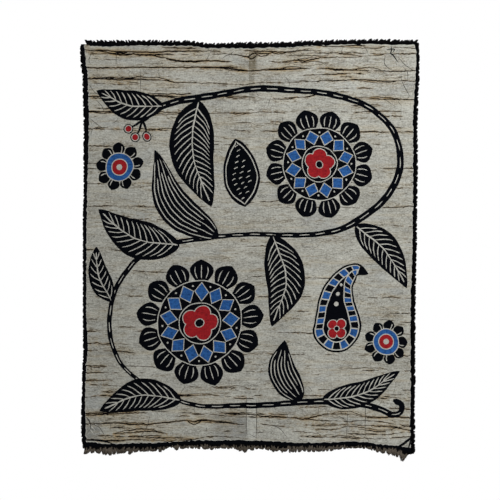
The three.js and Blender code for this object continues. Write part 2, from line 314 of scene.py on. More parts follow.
# %% Main cracks, lower half
CRACKS_BELOW = [
    [(-362, -433, 0.9), (-322, -433, 0.3), (-200, -436, 0.1)],
    [(-362, -476, 0.6), (-250, -478, 0.2), (250, -498, 0.2), (358, -498, 0.5)],
    [(-362, -532, 0.7), (-250, -532, 0.3), (250, -534, 0.3), (358, -538, 0.7)],
    [(-362, -581, 0.5), (-280, -581, 0.2)],
    [(230, -568, 0.3), (358, -570, 0.5)],
    [(250, -579, 0.3), (358, -590, 0.4)],
    [(-362, -607, 0.7), (-260, -607, 0.3), (0, -608, 0.1), (250, -613, 0.4), (358, -615, 0.7)],
    [(-362, -632, 0.9), (-300, -633, 0.5), (-200, -634, 0.2)],
    [(-362, -649, 0.6), (-280, -651, 0.5), (-200, -654, 0.2), (200, -658, 0.2), (288, -660, 0.8),
     (358, -660, 0.8)],
    [(-362, -682, 0.8), (-290, -682, 0.4), (-200, -684, 0.2)],
    [(-362, -697, 0.8), (-280, -697, 0.4), (-150, -695, 0.2), (200, -692, 0.2), (358, -690, 0.5)],
    [(-362, -714, 0.5), (-280, -714, 0.3)],
    [(-362, -722, 0.6), (-250, -724, 0.4), (-60, -728, 0.3), (63, -731, 0.6), (95, -731, 0.6),
     (250, -733, 0.4), (358, -735, 0.5)],
    [(-362, -749, 0.6), (-322, -746, 0.6), (-236, -744, 0.6), (-108, -745, 0.5), (-40, -748, 0.5),
     (0, -746, 0.3), (63, -742, 0.6), (106, -744, 0.6), (140, -745, 0.5), (202, -745, 0.6),
     (358, -758, 0.6)],
    [(106, -769, 0.5), (150, -770, 0.4)],
    [(-362, -783, 0.9), (-311, -782, 0.9), (-268, -779, 0.7), (-215, -778, 0.9), (-108, -784, 0.4),
     (-12, -785, 0.7), (25, -790, 0.8), (63, -791, 0.9), (89, -793, 1.0), (110, -795, 1.0),
     (138, -789, 0.8), (160, -783, 0.8), (213, -784, 0.7), (234, -789, 0.7), (300, -792, 0.7),
     (358, -794, 0.8)],
    [(-362, -788, 0.9), (-322, -786, 0.8), (-258, -783, 0.5), (-220, -782, 0.3)],
    [(110, -796, 0.8), (144, -798, 0.7), (181, -799, 0.6), (213, -801, 0.8), (240, -797, 0.6),
     (300, -804, 0.7), (358, -816, 0.8)],
    [(-362, -806, 1.0), (-300, -805, 0.8), (-247, -807, 0.6), (-215, -806, 0.8), (-183, -803, 0.9),
     (-130, -800, 1.0), (-97, -799, 1.0), (-76, -802, 0.8), (-40, -804, 0.8), (-16, -807, 0.9),
     (20, -807, 0.7), (90, -812, 0.5)],
    [(106, -806, 0.5), (160, -809, 0.6), (213, -806, 0.5), (300, -812, 0.6), (358, -822, 0.6)],
    [(-294, -827, 0.4), (-258, -825, 0.7), (-232, -823, 1.0), (-204, -822, 1.0), (-180, -825, 0.3)],
    [(-362, -840, 1.0), (-326, -840, 0.9), (-313, -843, 0.9), (-275, -842, 0.7), (-258, -839, 0.6),
     (-222, -840, 0.8), (-183, -839, 0.5), (-129, -840, 0.5), (-97, -834, 0.7), (-76, -831, 0.7),
     (-44, -835, 0.7), (-10, -836, 0.3)],
    [(100, -780, 0.3), (134, -781, 0.5), (166, -776, 0.3), (204, -778, 0.5), (240, -776, 0.2)],
    [(128, -801, 0.3), (150, -804, 0.6), (176, -805, 0.3), (222, -808, 0.6), (262, -806, 0.4),
     (300, -798, 0.2)],
    [(140, -815, 0.3), (172, -819, 0.4), (206, -814, 0.6), (236, -817, 0.4), (282, -822, 0.5),
     (358, -806, 0.3)],
    [(186, -824, 0.3), (214, -827, 0.6), (248, -826, 0.7), (290, -829, 0.4), (330, -824, 0.5),
     (358, -826, 0.4)],
    [(90, -821, 0.5), (118, -823, 0.6), (150, -826, 0.3)],
    [(236, -748, 0.5), (280, -746, 0.7), (330, -750, 0.8), (358, -748, 0.6)],
    [(250, -770, 0.5), (296, -772, 0.7), (358, -776, 0.8)],
    [(-300, -812, 0.5), (-262, -814, 0.6), (-226, -811, 0.4)],
    [(-290, -834, 0.4), (-250, -832, 0.6), (-212, -831, 0.7), (-170, -832, 0.4)],
    [(60, -828, 0.3), (127, -833, 0.6), (181, -835, 0.8), (213, -835, 0.9), (273, -837, 0.9),
     (320, -834, 0.7), (358, -829, 0.5)],
]

# %% [markdown]
# A crack in wax is a jagged line, never a smooth one. So each main crack strays a little from its row
# of knots and comes and goes in darkness, and the dark ones send out forks that run beside them and
# come back. Noise in the material could draw cracks as well, and does so for the finest ones below, but
# a crack that is a shape can be placed where the photograph has it and can bleed into the cloth around
# it.

# %% Crack helpers
CRACK_PITCH = 4.6
CRACK_WIDTH = 2.35
FAINT = 0.13  # a crack that is less dark than this isn't drawn
FORKS = {"points_each": 30, "points_long": (7, 26), "rise": (1.8, 6)}  # one for 30 fully dark points

# How hard the cloth was crushed, which its cracks' darkness is multiplied by, at heights and then across.
CRUSHED_DOWN = {"at": (-900, -680, -590, -215, -150, 20), "shift": (0.84, 0.84, 0.66, 0.66, 1, 1.05)}
CRUSHED_ACROSS = {"at": (-362, -100, 358), "shift": (1.25, 1.1, 0.85)}

chance = np.random.default_rng(21)
cracks = []


def unrest(count, pitch, push):
    """Values that wander: smooth over pitch points and about push in size."""
    knots = chance.normal(0, push, count // pitch + 3)
    return np.interp(np.arange(count) / pitch, np.arange(len(knots)), knots)


def crack(x, z, dark):
    """One crack along points x, z. It is left out where dark is near nothing."""
    line = np.column_stack([x, z])
    half = sideways(line) * (CRACK_WIDTH * (0.16 + 0.98 * dark) / 2)[:, None]
    for run in np.split(np.arange(len(x)), np.flatnonzero(np.diff(dark > FAINT)) + 1):
        if len(run) > 3 and dark[run[0]] > FAINT:
            reach = half[run]
            reach[[0, -1]] *= 0.25
            loops.append((CRACK, np.vstack([line[run] + reach, (line[run] - reach)[::-1]])))
    cracks.append(dict(x=x, z=z, dark=dark))


def rough_crack(x, level, dark):
    """A crack that strays a little from its level and comes and goes."""
    count = len(x)
    z = level + unrest(count, 9, 0.7) + unrest(count, 4, 0.45) + unrest(count, 1, 0.42)
    blotched = dark + unrest(count, 9, 0.24) + unrest(count, 3, 0.14) + unrest(count, 1, 0.16)
    crack(x, z, np.clip(blotched, 0, 1))
    return z


def fork(x, z, dark, start, count, rise):
    """A branch that leaves a crack, runs beside it and comes back."""
    part = slice(start, start + count)
    t = np.linspace(0, 1, len(x[part]))
    away = rise * np.sin(np.pi * t) ** 0.7
    level = z[part] + away + unrest(len(t), 3, 0.4)
    weaker = dark[part] * 0.75 + unrest(len(t), 4, 0.15)
    crack(x[part], level, np.clip(weaker, 0.15, 0.9))


for row in CRACKS_ABOVE + CRACKS_BELOW:
    knots = np.array(row, float)
    x = np.arange(knots[0, 0], knots[-1, 0] + 1, CRACK_PITCH)
    dark = np.interp(x, knots[:, 0], knots[:, 2])
    dark = dark * eased(CRUSHED_DOWN, knots[:, 1].mean()) * eased(CRUSHED_ACROSS, x)
    z = rough_crack(x, np.interp(x, knots[:, 0], knots[:, 1]), dark)
    for _ in range(round(len(x) * float(dark.mean()) / FORKS["points_each"])):
        count = int(chance.integers(*FORKS["points_long"]))
        if count + 2 < len(x):
            start = int(chance.integers(0, len(x) - count))
            rise = chance.choice([-1, 1]) * chance.uniform(*FORKS["rise"])
            fork(x, z, dark, start, count, rise)
print(len(cracks), "main cracks and forks")

# %% [markdown]
# Between the main cracks lie shorter ones, too many to place by hand. A seeded random generator
# scatters them, thickest near the top and the bottom, and gives the same cloth on every run.

# %% Small cracks, scattered
SMALL_CRACKS = {"count": 70, "centre": (-335, 335), "length": (40, 170)}
SMALL_LIMITS = (-348, 346)
SMALL_DARK = (0.2, 0.52)
SMALL_SLANT = (-0.05, 0.05)
CROWDED = {"at": (0.0, 0.42, 0.62, 1.0), "shift": (-2, -160, -730, -842)}  # heights, by share of the cracks

for _ in range(SMALL_CRACKS["count"]):
    middle = float(eased(CROWDED, chance.random()))
    centre, length = chance.uniform(*SMALL_CRACKS["centre"]), chance.uniform(*SMALL_CRACKS["length"])
    start, end = max(SMALL_LIMITS[0], centre - length / 2), min(SMALL_LIMITS[1], centre + length / 2)
    x = np.arange(start, end, CRACK_PITCH)
    if len(x) > 4:
        dark = chance.uniform(*SMALL_DARK) * np.sin(np.pi * np.linspace(0, 1, len(x))) ** 0.5
        rough_crack(x, middle + chance.uniform(*SMALL_SLANT) * (x - centre), dark)
print(len(cracks), "cracks in all")

# %% [markdown]
# A few cracks don't run level: fine creases that run down the cloth, arcs where a corner was crushed,
# and the dark line that cuts off the lower right corner. Each is a row of knots. The crumpled lower
# left corner also has pale streaks, painted highlights on its crumples, and one more lies at the lower
# right.

# %% Creases and crushed corners
FINE_CREASES = [
    dict(width=1.1, knots=[(-287, -8), (-288, -36)]),
    dict(width=1.1, knots=[(-236, -46), (-235, -96)]),
    dict(width=1.2, knots=[(-346, -78), (-332, -97), (-310, -106)]),
    dict(width=1.1, knots=[(-88, -14), (-96, -30)]),
    dict(width=1.4, knots=[(290, -16), (286, -27), (289, -38), (302, -48)]),
    dict(width=1.4, knots=[(316, -20), (332, -38), (352, -51)]),
    dict(width=1.1, knots=[(325, -40), (336, -54), (336, -72)]),
    dict(width=1.3, knots=[(323, -60), (325, -74), (334, -92), (340, -104), (330, -112)]),
    dict(width=1.0, knots=[(270, -112), (288, -112), (312, -128)]),
    dict(width=1.4, knots=[(-61, -24), (-52, -17), (-42, -14), (-36, -8)]),
    dict(width=1.0, knots=[(-340, -12), (-346, -26), (-343, -36)]),
    dict(width=1.0, knots=[(-330, -112), (-318, -126), (-312, -140)]),
    dict(width=1.0, knots=[(-346, -150), (-330, -163), (-316, -172)]),
    dict(width=1.1, knots=[(-350, -466), (-334, -454), (-322, -450)]),
    dict(width=1.2, knots=[(12, -752), (13, -800), (12, -840)]),
    dict(width=1.1, knots=[(-8, -748), (-9, -800), (-7, -838)]),
    dict(width=1.1, knots=[(208, -780), (205, -838)]),
    dict(width=1.1, knots=[(246, -746), (245, -838)]),
    dict(width=1.2, knots=[(-215, -786), (-222, -812), (-238, -836)]),
    dict(width=1.1, knots=[(30, -806), (60, -814), (78, -834)]),
    dict(width=1.2, knots=[(181, -786), (196, -792), (212, -803)]),
    dict(width=1.6, knots=[(-352, -794), (-343, -806), (-344, -820)]),
    dict(width=1.3, knots=[(-338, -806), (-322, -816), (-310, -836)]),
]
PAINTED_CRUMPLE_HIGHLIGHTS = [
    dict(width=2.6, knots=[(-349, -846), (-338, -851)]),
    dict(width=2.4, knots=[(-340, -845), (-328, -851)]),
    dict(width=2.2, knots=[(-330, -846), (-312, -851)]),
    dict(width=2.0, knots=[(-347, -806), (-333, -820)]),
    dict(width=1.8, knots=[(-345, -816), (-336, -828)]),
    dict(width=1.8, knots=[(-333, -806), (-322, -818)]),
    dict(width=1.6, knots=[(-280, -830), (-262, -833)]),
    dict(width=2.0, knots=[(338, -846), (344, -856)]),
]
CORNER_LINES = [
    dict(width=4.4, knots=[(310, -858), (330, -846), (352, -827)]),
    dict(width=2.8, knots=[(344, -836), (337, -859)]),
    dict(width=2.4, knots=[(301, 4), (302, -6), (300, -12), (306, -17), (316, -32)]),
    dict(width=2.0, knots=[(292, -4), (300, -3), (309, -4), (304, -10)]),
    dict(width=2.8, knots=[(-354, -841), (-330, -841), (-306, -845), (-288, -852)]),
    dict(width=1.3, knots=[(-354, -790), (-346, -798), (-343, -806)]),
]
HAIRS = {"count": 90, "across": (-340, 340), "length": (8, 26), "bow": (-0.5, 0.5), "width": 0.8}
RIBBON_SPREAD = 1.25


def ribbon(colour, knots, width):
    """A line through knots that thins towards both ends."""
    line = curve(knots, 5)
    thinning = np.sin(np.pi * np.linspace(0.12, 0.9, len(line)))
    offset = sideways(line) * (RIBBON_SPREAD * width / 2 * thinning[:, None])
    loops.append((colour, np.vstack([line + offset, (line - offset)[::-1]])))


# The pale streaks are painted highlights on the crumples, laid in the wax colour.
for colour, table in ((WAX, PAINTED_CRUMPLE_HIGHLIGHTS), (HAIR, FINE_CREASES), (BLACK, CORNER_LINES)):
    for row in table:
        ribbon(colour, row["knots"], row["width"])
for _ in range(HAIRS["count"]):
    at = np.array([chance.uniform(*HAIRS["across"]), float(eased(CROWDED, chance.random()))])
    turn, length = chance.uniform(0, np.pi), chance.uniform(*HAIRS["length"])
    reach = np.array([math.cos(turn), math.sin(turn)]) * length / 2
    bend = np.array([-reach[1], reach[0]]) * chance.uniform(*HAIRS["bow"])
    ribbon(HAIR, [at - reach, at + bend, at + reach], HAIRS["width"])
print(len(loops), "shapes for cracks, creases and scuffs")

# %% [markdown]
# The motifs are a maker's stock of flowers, leaves, pods and drops. A leaf is a bowed blade with a
# middle line and side veins left pale by the wax. Some have lines along them instead.

# %% Leaves
VEIN_PITCH = 17


def blade(base, tip, width, bow):
    """A leaf's middle line, its sideways directions, its half widths and the share along it."""
    base, tip = np.array(base, float), np.array(tip, float)
    run = tip - base
    middle = curve([base, (base + tip) / 2 + np.array([-run[1], run[0]]) * bow, tip], 4.5)
    t = np.linspace(0, 1, len(middle))
    half = width / 2 * np.sin(np.pi * t**0.85) ** 0.8 * (1 - 0.25 * t)
    return middle, sideways(middle), half, t


def part_way(line, t, share):
    """The point of a line at a share of the way along it."""
    return np.array([np.interp(share, t, line[:, 0]), np.interp(share, t, line[:, 1])])


def blade_outline(middle, side, half):
    return np.vstack([middle + side * half[:, None], (middle - side * half[:, None])[::-1]])


def veined_leaf(base, tip, width, bow):
    """A dark blade with a pale middle line and bowed veins on both sides."""
    middle, side, half, t = blade(base, tip, width, bow)
    dye(BLACK, blade_outline(middle, side, half))
    stroke(WAX, middle[1:-3], 2.6)
    veins = round(np.linalg.norm(np.subtract(tip, base)) / VEIN_PITCH)
    for share in np.linspace(0.07, 0.76, veins):
        far = share + 0.12 + 0.05 * (1 - share)
        for way in (1, -1):
            start = part_way(middle, t, share)
            out = part_way(side, t, far) * 0.8 * np.interp(far, t, half) * way
            end = part_way(middle, t, far) + out
            stroke(WAX, curve([start, (start + end) / 2 + out * 0.12, end], 6), 1.9)


def lined_leaf(base, tip, width, bow, lines=7):
    """A dark blade with pale lines along it, every other one shorter."""
    middle, side, half, t = blade(base, tip, width, bow)
    dye(BLACK, blade_outline(middle, side, half))
    for number, row in enumerate(np.linspace(-0.78, 0.78, lines)):
        line = middle + side * (half * row)[:, None]
        short = 3 + (number % 2) * round(0.12 * len(line))
        stroke(WAX, line[short : -short - round(3 * abs(row)) - 1], 1.9)


# %% [markdown]
# A rosette is built from its rim inwards: petals, a dark disc, a ring of blue lozenges and a red
# floret. Each coloured field keeps a pale waxed outline, which is how a batik maker stops one dye from
# running into the next.

# %% Florets and rosettes
def angles(count, turn, part=0):
    """Equal steps round a centre from turn on, each moved on by a part of a step."""
    return [turn + 2 * math.pi * (number + part) / count for number in range(count)]


def spots_round(colour, x, z, reach, turns, radius):
    """Round spots that stand reach from a centre."""
    for angle in turns:
        spot(colour, x + reach * math.cos(angle), z + reach * math.sin(angle), radius)


def floret(x, z, radius, petals, turn):
    """A small red flower of round petals with a dark eye."""
    for colour, cut in ((WAX, 0), (RED, 1.8)):
        spots_round(colour, x, z, 0.55 * radius, angles(petals, turn), 0.47 * radius - cut)
    spot(WAX, x, z, 0.26 * radius)
    spot(BLACK, x, z, 0.26 * radius - 1.6)


def petals_round(x, z, inner, outer, count, turn, lines=3):
    """A ring of dark petals with a few pale lines on each."""
    t = np.linspace(0, 1, 13)
    reach = inner + (outer - inner) * t
    widest = math.pi * (inner * 0.45 + outer * 0.55) / count * 0.93
    half = widest * np.sin(np.pi * (0.12 + 0.88 * t**1.25)) ** 0.75
    half[-1] = 0
    outline = np.vstack([np.column_stack([reach, half]), np.column_stack([reach, -half])[::-1]])
    for angle in angles(count, turn):
        dye(BLACK, place(outline, x, z, angle))
        for row in np.linspace(-0.55, 0.55, lines):
            line = np.column_stack([reach, half * row])[2 : 10 - round(2 * abs(row))]
            stroke(WAX, place(line, x, z, angle), 1.8)


def lozenges_round(x, z, inner, outer, count, turn):
    """A ring of blue lozenges, each with a pale outline."""
    middle, half = (inner + outer) / 2, (outer - inner) / 2
    wide = math.pi * middle / count
    for angle in angles(count, turn):
        for colour, cut in ((WAX, 0), (BLUE, 2.1)):
            tall, broad = half - 1.3 * cut, wide - cut
            corners = np.array([[tall, 0], [0, broad], [-tall, 0], [0, -broad]]) + [middle, 0]
            dye(colour, place(corners, x, z, angle))


def rosette(x, z, radius, petals, turn):
    """A large round flower, from its petals inwards to its heart."""
    core = 0.66 * radius
    petals_round(x, z, core - 4, radius, petals, turn)
    spot(WAX, x, z, core + 1)
    spot(BLACK, x, z, core - 1)
    lozenges_round(x, z, core * 0.52, core - 3, petals, turn)
    spots_round(WAX, x, z, core - 10, angles(petals, turn, 0.5), 2.2)
    spot(WAX, x, z, core * 0.50)
    spot(BLACK, x, z, core * 0.50 - 2)
    floret(x, z, core * 0.43, 5, turn)


def daisy(x, z, radius, petals, turn):
    """A small round flower with a blue ring and a red heart."""
    petals_round(x, z, radius * 0.5, radius, petals, turn, 1)
    rings = ((WAX, 0.6, 0), (BLUE, 0.6, 2), (WAX, 0.36, 0), (RED, 0.36, 2), (WAX, 0.13, 0))
    for colour, share, cut in rings:
        spot(colour, x, z, radius * share - cut)


# %% [markdown]
# The paisley is a drop round a bent spine, with a toothed blue border and a floret at its heart. The
# pod is a pointed oval with rows of short dashes.

# %% Paisley, pod and berries
PAISLEY_SPINE = np.array([[0, 0], [0.02, 0.40], [0.13, 0.66], [0.34, 0.80], [0.52, 0.72]])
TOOTH_POINTS = 3
DASH_ROWS = 11.5
DASH_STEP = 15


def paisley(x, z, size, turn, flip):
    """A bent drop with a toothed border, a floret and three dots along its spine."""
    spine = curve(PAISLEY_SPINE * size * [flip, 1], 4)
    t = np.linspace(0, 1, len(spine))
    half, side = 0.36 * size * (1 - t) ** 0.72, sideways(spine)
    start = math.atan2(side[0][1], side[0][0])

    def outline(inset, until=1.0):
        """The drop's outline, drawn in by inset and cut short of its tip."""
        keep = t <= until
        width = np.maximum(half[keep] - inset, 0.3)[:, None]
        arc = np.linspace(0, np.pi, 23)[1:-1] + start
        cap = spine[0] + width[0] * np.column_stack([np.cos(arc), np.sin(arc)])
        return np.vstack([(spine[keep] + side[keep] * width)[::-1], cap, spine[keep] - side[keep] * width])

    def lay(colour, points):
        dye(colour, place(points, x, z, turn))

    border = 0.15 * size
    lay(BLACK, outline(0))
    lay(WAX, outline(4, 0.88))
    outer, inner = outline(5, 0.88), outline(border, 0.88)
    for number, first in enumerate(range(0, len(outer) - TOOTH_POINTS, TOOTH_POINTS)):
        part = slice(first, first + TOOTH_POINTS + 1)
        tooth = np.vstack([outer[part], inner[part][::-1]])
        centre = tooth.mean(axis=0)
        lay((BLUE, BLACK)[number % 2], centre + (tooth - centre) * 0.84)
    lay(WAX, outline(border - 1, 0.72))
    lay(BLACK, outline(border + 1, 0.70))
    heart = place([[0, -0.02 * size]], x, z, turn)[0]
    floret(heart[0], heart[1], 0.17 * size, 4, turn + 0.7)
    for share, radius in ((0.33, 0.034), (0.46, 0.028), (0.58, 0.022)):
        dot = place(spine[int(share * (len(spine) - 1))][None], x, z, turn)[0]
        spot(WAX, dot[0], dot[1], radius * size)


def pod(x, z, length, width, turn):
    """A pointed oval with a pale inner outline and rows of dashes."""
    t = np.linspace(0, 1, 25)
    half, rise = width / 2 * np.sin(np.pi * t) ** 0.62 * (1.08 - 0.35 * t), (t - 0.5) * length
    for colour, inset in ((BLACK, 0), (WAX, 5), (BLACK, 7)):
        wide, tall = np.maximum(half - inset, 0), rise * (1 - 2 * inset / length)
        outline = np.vstack([np.column_stack([wide, tall]), np.column_stack([-wide, tall])[::-1]])
        dye(colour, place(outline, x, z, turn))
    for number, level in enumerate(np.arange(-length / 2 + 18, length / 2 - 16, DASH_ROWS)):
        count = max(1, int((np.interp(level, rise, half) - 14) * 2 / DASH_STEP))
        for step in range(count):
            middle = (step - (count - 1) / 2) * DASH_STEP + (number % 2) * 3 - 1.5
            dash = [[middle - 3.6, level - 1.4], [middle, level + 0.5], [middle + 3.6, level + 1.2]]
            stroke(WAX, place(dash, x, z, turn), 2.0, 0.8)


def berries(root, places, radius):
    """Berries on short stalks that all leave one root."""
    for x, z in places:
        stroke(BLACK, curve([root, ((root[0] + x) / 2 + 3, (root[1] + z) / 2), (x, z)], 6), 4.5, 0.9)
        for colour, size in ((BLACK, radius + 2.2), (WAX, radius), (RED, radius - 1.8)):
            spot(colour, x, z, size)


# %% [markdown]
# The layout: one thick stem winds across the cloth in an S, with a large rosette in each of its bends,
# and leaves, pods and drops fill the rest. Black covers the most, and blue and red are kept for the
# hearts of the flowers, which is how few dye baths go a long way.

# %% Lay out the drawing
STEM = [(304, -757), (322, -764), (320, -782), (300, -786), (262, -772), (170, -755), (-10, -768),
        (-170, -752), (-276, -676), (-300, -552), (-232, -446), (-80, -404), (70, -402), (206, -384),
        (306, -300), (306, -180), (210, -108), (60, -90), (-80, -100), (-180, -124), (-232, -160)]
STEM_WIDTH = 12
DASH = {"points": 3, "gap": 2}
LEAVES = [
    dict(make=veined_leaf, base=(-110, -110), tip=(-82, -338), width=108, bow=-0.13),
    dict(make=veined_leaf, base=(-150, -424), tip=(-324, -345), width=92, bow=0.14),
    dict(make=veined_leaf, base=(-184, -128), tip=(-330, -90), width=72, bow=0.10),
    dict(make=lined_leaf, base=(-66, -404), tip=(-206, -220), width=84, bow=0.16),
    dict(make=veined_leaf, base=(226, -380), tip=(334, -516), width=76, bow=0.08),
    dict(make=veined_leaf, base=(50, -402), tip=(46, -600), width=96, bow=0.13),
    dict(make=lined_leaf, base=(108, -756), tip=(74, -626), width=72, bow=0.17),
    dict(make=veined_leaf, base=(-298, -545), tip=(-330, -424), width=54, bow=0.10),
    dict(make=veined_leaf, base=(-150, -756), tip=(-326, -778), width=78, bow=-0.12),
    dict(make=veined_leaf, base=(150, -752), tip=(320, -694), width=62, bow=-0.10),
]

motifs_from = len(loops)
stem = curve(STEM, 7)
stroke(BLACK, stem, STEM_WIDTH)
for first in range(6, len(stem) - DASH["points"] - 6, DASH["points"] + DASH["gap"]):
    stroke(WAX, stem[first : first + DASH["points"] + 1], 1.7, 0.7)
for row in LEAVES:
    row["make"](row["base"], row["tip"], row["width"], row["bow"])
pod(-22, -268, 150, 84, 0.16)
rosette(-108, -588, 137, 13, 0.10)
rosette(146, -248, 118, 12, 0.25)
daisy(-282, -256, 52, 9, 0.2)
daisy(292, -632, 48, 9, 0.0)
paisley(186, -598, 146, 0.10, 1)
berries((-230, -158), [(-262, -176), (-248, -194), (-222, -192)], 8.5)
print(len(loops) - motifs_from, "motif shapes,", sum(len(p) for _, p in loops), "points in all")

# %% [markdown]
# The outline of the cloth and its dyed border close the drawing. The border's inner edge wobbles, with
# small teeth where the dye crept in, and beside it runs a thin pale line, where the wax that stopped it
# lay thickest.

# %% Outline and border
EDGE_PITCH = 4.2
RAW_SHAKE = {"push": 0.22, "seed": 5}
TEETH = {"push": 0.75, "seed": 6}
WAX_LINE = 1.3


def edge_loop(edges, inset, push, seed):
    """A loop along four uneven edges, moved in by inset, with its points pushed about at random."""
    left, right = inset / WIDTH, 1 - inset / WIDTH
    top, bottom = inset / DROP, 1 - inset / DROP
    across = np.linspace(left, right, round(WIDTH / EDGE_PITCH))
    down = np.linspace(top, bottom, round(DROP / EDGE_PITCH))
    level, upright = len(across) - 1, len(down) - 1
    share_x = np.concatenate([across[:-1], np.full(upright, right), across[:0:-1], np.full(upright, left)])
    share_z = np.concatenate([np.full(level, top), down[:-1], np.full(level, bottom), down[:0:-1]])
    x, z = spread(share_x, share_z, edges)
    pick = np.random.default_rng(seed)
    return np.column_stack([x + pick.normal(0, push, len(x)), z + pick.normal(0, push, len(z))])


outline = edge_loop(RAW_EDGES, 0, **RAW_SHAKE)
border_loop = edge_loop(DYED_EDGES, 0, **TEETH)
ground_loop = edge_loop(DYED_EDGES, WAX_LINE, **TEETH)
x, z = outline[:, 0], outline[:, 1]
flat_area = abs(np.sum(x * np.roll(z, -1) - np.roll(x, -1) * z)) / 2
print("flat area", round(flat_area * MM * MM, 4), "square metres")

# %% [markdown]
# A constrained Delaunay triangulation turns all loops and a plain grid into one mesh whose edges run
# along every drawn line. Each triangle then takes the dye of the last loop that holds its middle, found
# with the winding number, which also copes with a brush line that crosses itself.

# %% Triangulate the drawing
GRID = {"across": 13.0, "down": 9.0}
GRID_SPAN = {"across": (0.008, 0.992), "down": (0.006, 0.994)}  # shares, just clear of the raw edges
MERGE = 0.15  # points nearer than this become one
BESIDE = 4.0  # how far from a crack its bleed has faded


def winding_inside(points, loop):
    """Which points lie inside a closed loop."""
    x, z = points[:, 0, None], points[:, 1, None]
    x0, z0 = loop[:, 0], loop[:, 1]
    x1, z1 = np.roll(x0, -1), np.roll(z0, -1)
    left = (x1 - x0) * (z - z0) - (x - x0) * (z1 - z0)
    up, down = (z0 <= z) & (z1 > z) & (left > 0), (z0 > z) & (z1 <= z) & (left < 0)
    return (up.sum(1) - down.sum(1)) != 0


def triangulate(all_loops, free_points):
    """One mesh of triangles with every loop's edges in it. Returns its points and its triangles."""
    points, edges = [], []
    for loop in all_loops:
        first, count = len(points), len(loop)
        points.extend(loop.tolist())
        edges.extend((first + i, first + (i + 1) % count) for i in range(count))
    points.extend(free_points.tolist())
    made = delaunay_2d_cdt([Vector(p) for p in points], edges, [], 0, MERGE, False)
    return np.array([tuple(p) for p in made[0]]), np.array(made[2])


steps = {"across": round(WIDTH / GRID["across"]), "down": round(DROP / GRID["down"])}
shares = {way: np.linspace(*GRID_SPAN[way], steps[way]) for way in steps}
share_x, share_z = np.meshgrid(shares["across"], shares["down"])
grid_x, grid_z = spread(share_x.ravel(), share_z.ravel())
beside = [np.column_stack([row["x"], row["z"] + way * BESIDE]) for row in cracks for way in (-1, 1)]
free = np.vstack([np.column_stack([grid_x, grid_z])] + beside)
drawn = [outline, border_loop, ground_loop] + [p for _, p in loops]
points, triangles = triangulate(drawn, free)
middles = points[triangles].mean(axis=1)
print(len(points), "points and", len(triangles), "triangles")

# %% Give each triangle its dye
AT_ONCE = 4_000_000
OUTSIDE = -1
NAMES = ("ground", "black", "blue", "red", "wax", "crack", "hair")


def fill(labels, loop, colour):
    """Gives a dye to the triangles whose middle lies in the loop, some at a time to spare memory."""
    near = np.all((middles >= loop.min(0)) & (middles <= loop.max(0)), axis=1)
    found = np.flatnonzero(near)
    for part in np.array_split(found, max(1, len(found) * len(loop) // AT_ONCE)):
        labels[part[winding_inside(middles[part], loop)]] = colour


inside = np.full(len(triangles), OUTSIDE)
fill(inside, outline, BLACK)
in_border = inside.copy()
fill(in_border, border_loop, GROUND)
labels = np.full(len(triangles), WAX)
fill(labels, ground_loop, GROUND)
for colour, loop in loops:
    fill(labels, loop, colour)
labels[in_border == BLACK] = BLACK
triangles, labels = triangles[inside == BLACK], labels[inside == BLACK]
print({name: int((labels == value).sum()) for value, name in enumerate(NAMES)})

# %% [markdown]
# Stains: each crack has an ochre bleed, strongest on its line and gone a few millimetres away, and a
# wide, weak warmth that adds up where cracks crowd. Each point of the mesh keeps both, and how dark its
# nearest crack is. The extra points beside the cracks, added above, keep the bleed's edge soft and
# even.

# %% Bleed, warmth and darkness at each point
BLEED_REACH = 2.6
WARMTH_REACH = 9.0
CRACK_CLAIM = 1.5
CRACK_STRAY = 60  # no crack strays further than this from its mean height
BLEED_MOST = 1.3


def crack_field(points):
    """The bleeds and the warmth added up at each point, and the darkness of its nearest crack."""
    bleed, warmth, dark, best = (np.zeros(len(points)) for _ in range(4))
    for row in cracks:
        near = np.flatnonzero((points[:, 0] >= row["x"][0] - 1) & (points[:, 0] <= row["x"][-1] + 1))
        near = near[np.abs(points[near, 1] - row["z"].mean()) < CRACK_STRAY]
        away = np.abs(points[near, 1] - np.interp(points[near, 0], row["x"], row["z"]))
        here = np.interp(points[near, 0], row["x"], row["dark"])
        bleed[near] += here * np.exp(-((away / BLEED_REACH) ** 2))
        warmth[near] += here * np.exp(-((away / WARMTH_REACH) ** 2))
        claim = (here + 0.05) * np.exp(-away / CRACK_CLAIM)
        won = claim > best[near]
        best[near[won]], dark[near[won]] = claim[won], here[won]
    return np.minimum(bleed, BLEED_MOST), warmth, dark


bleed, warmth, dark = crack_field(points)
print("mean bleed", round(float(bleed.mean()), 3), "mean warmth", round(float(warmth.mean()), 3))

# %% [markdown]
# The flat drawing now takes its hanging shape. The front and the back are the same triangles, a cloth's
# thickness apart and joined by a rim along the raw edge, so the piece is a closed thin solid. Normals
# come straight from the slope of the shape, which keeps the shading smooth over thin triangles.

# %% Make the cloth
SLOPE_STEP = 0.5


def slope(x, z):
    """How the surface's y changes along x and along z."""
    along_x = forward(x + SLOPE_STEP, z) - forward(x - SLOPE_STEP, z)
    along_z = forward(x, z + SLOPE_STEP) - forward(x, z - SLOPE_STEP)
    return -along_x / (2 * SLOPE_STEP), -along_z / (2 * SLOPE_STEP)


def make_object(name, points, faces):
    """A smooth object from points in millimetres."""
    mesh = bpy.data.meshes.new(name)
    mesh.from_pydata((np.asarray(points) * MM).tolist(), [], [tuple(f) for f in faces])
    made = bpy.data.objects.new(name, mesh)
    bpy.context.scene.collection.objects.link(made)
    mesh.polygons.foreach_set("use_smooth", np.ones(len(mesh.polygons), bool))
    return made


used, triangles = np.unique(triangles, return_inverse=True)
triangles = triangles.reshape(-1, 3)
points, bleed, warmth, dark = points[used], bleed[used], warmth[used], dark[used]
x, z = points[:, 0], points[:, 1]
corner = points[triangles]
first, second = corner[:, 1] - corner[:, 0], corner[:, 2] - corner[:, 0]
clockwise = first[:, 0] * second[:, 1] - first[:, 1] * second[:, 0] < 0
triangles[clockwise] = triangles[clockwise][:, ::-1]

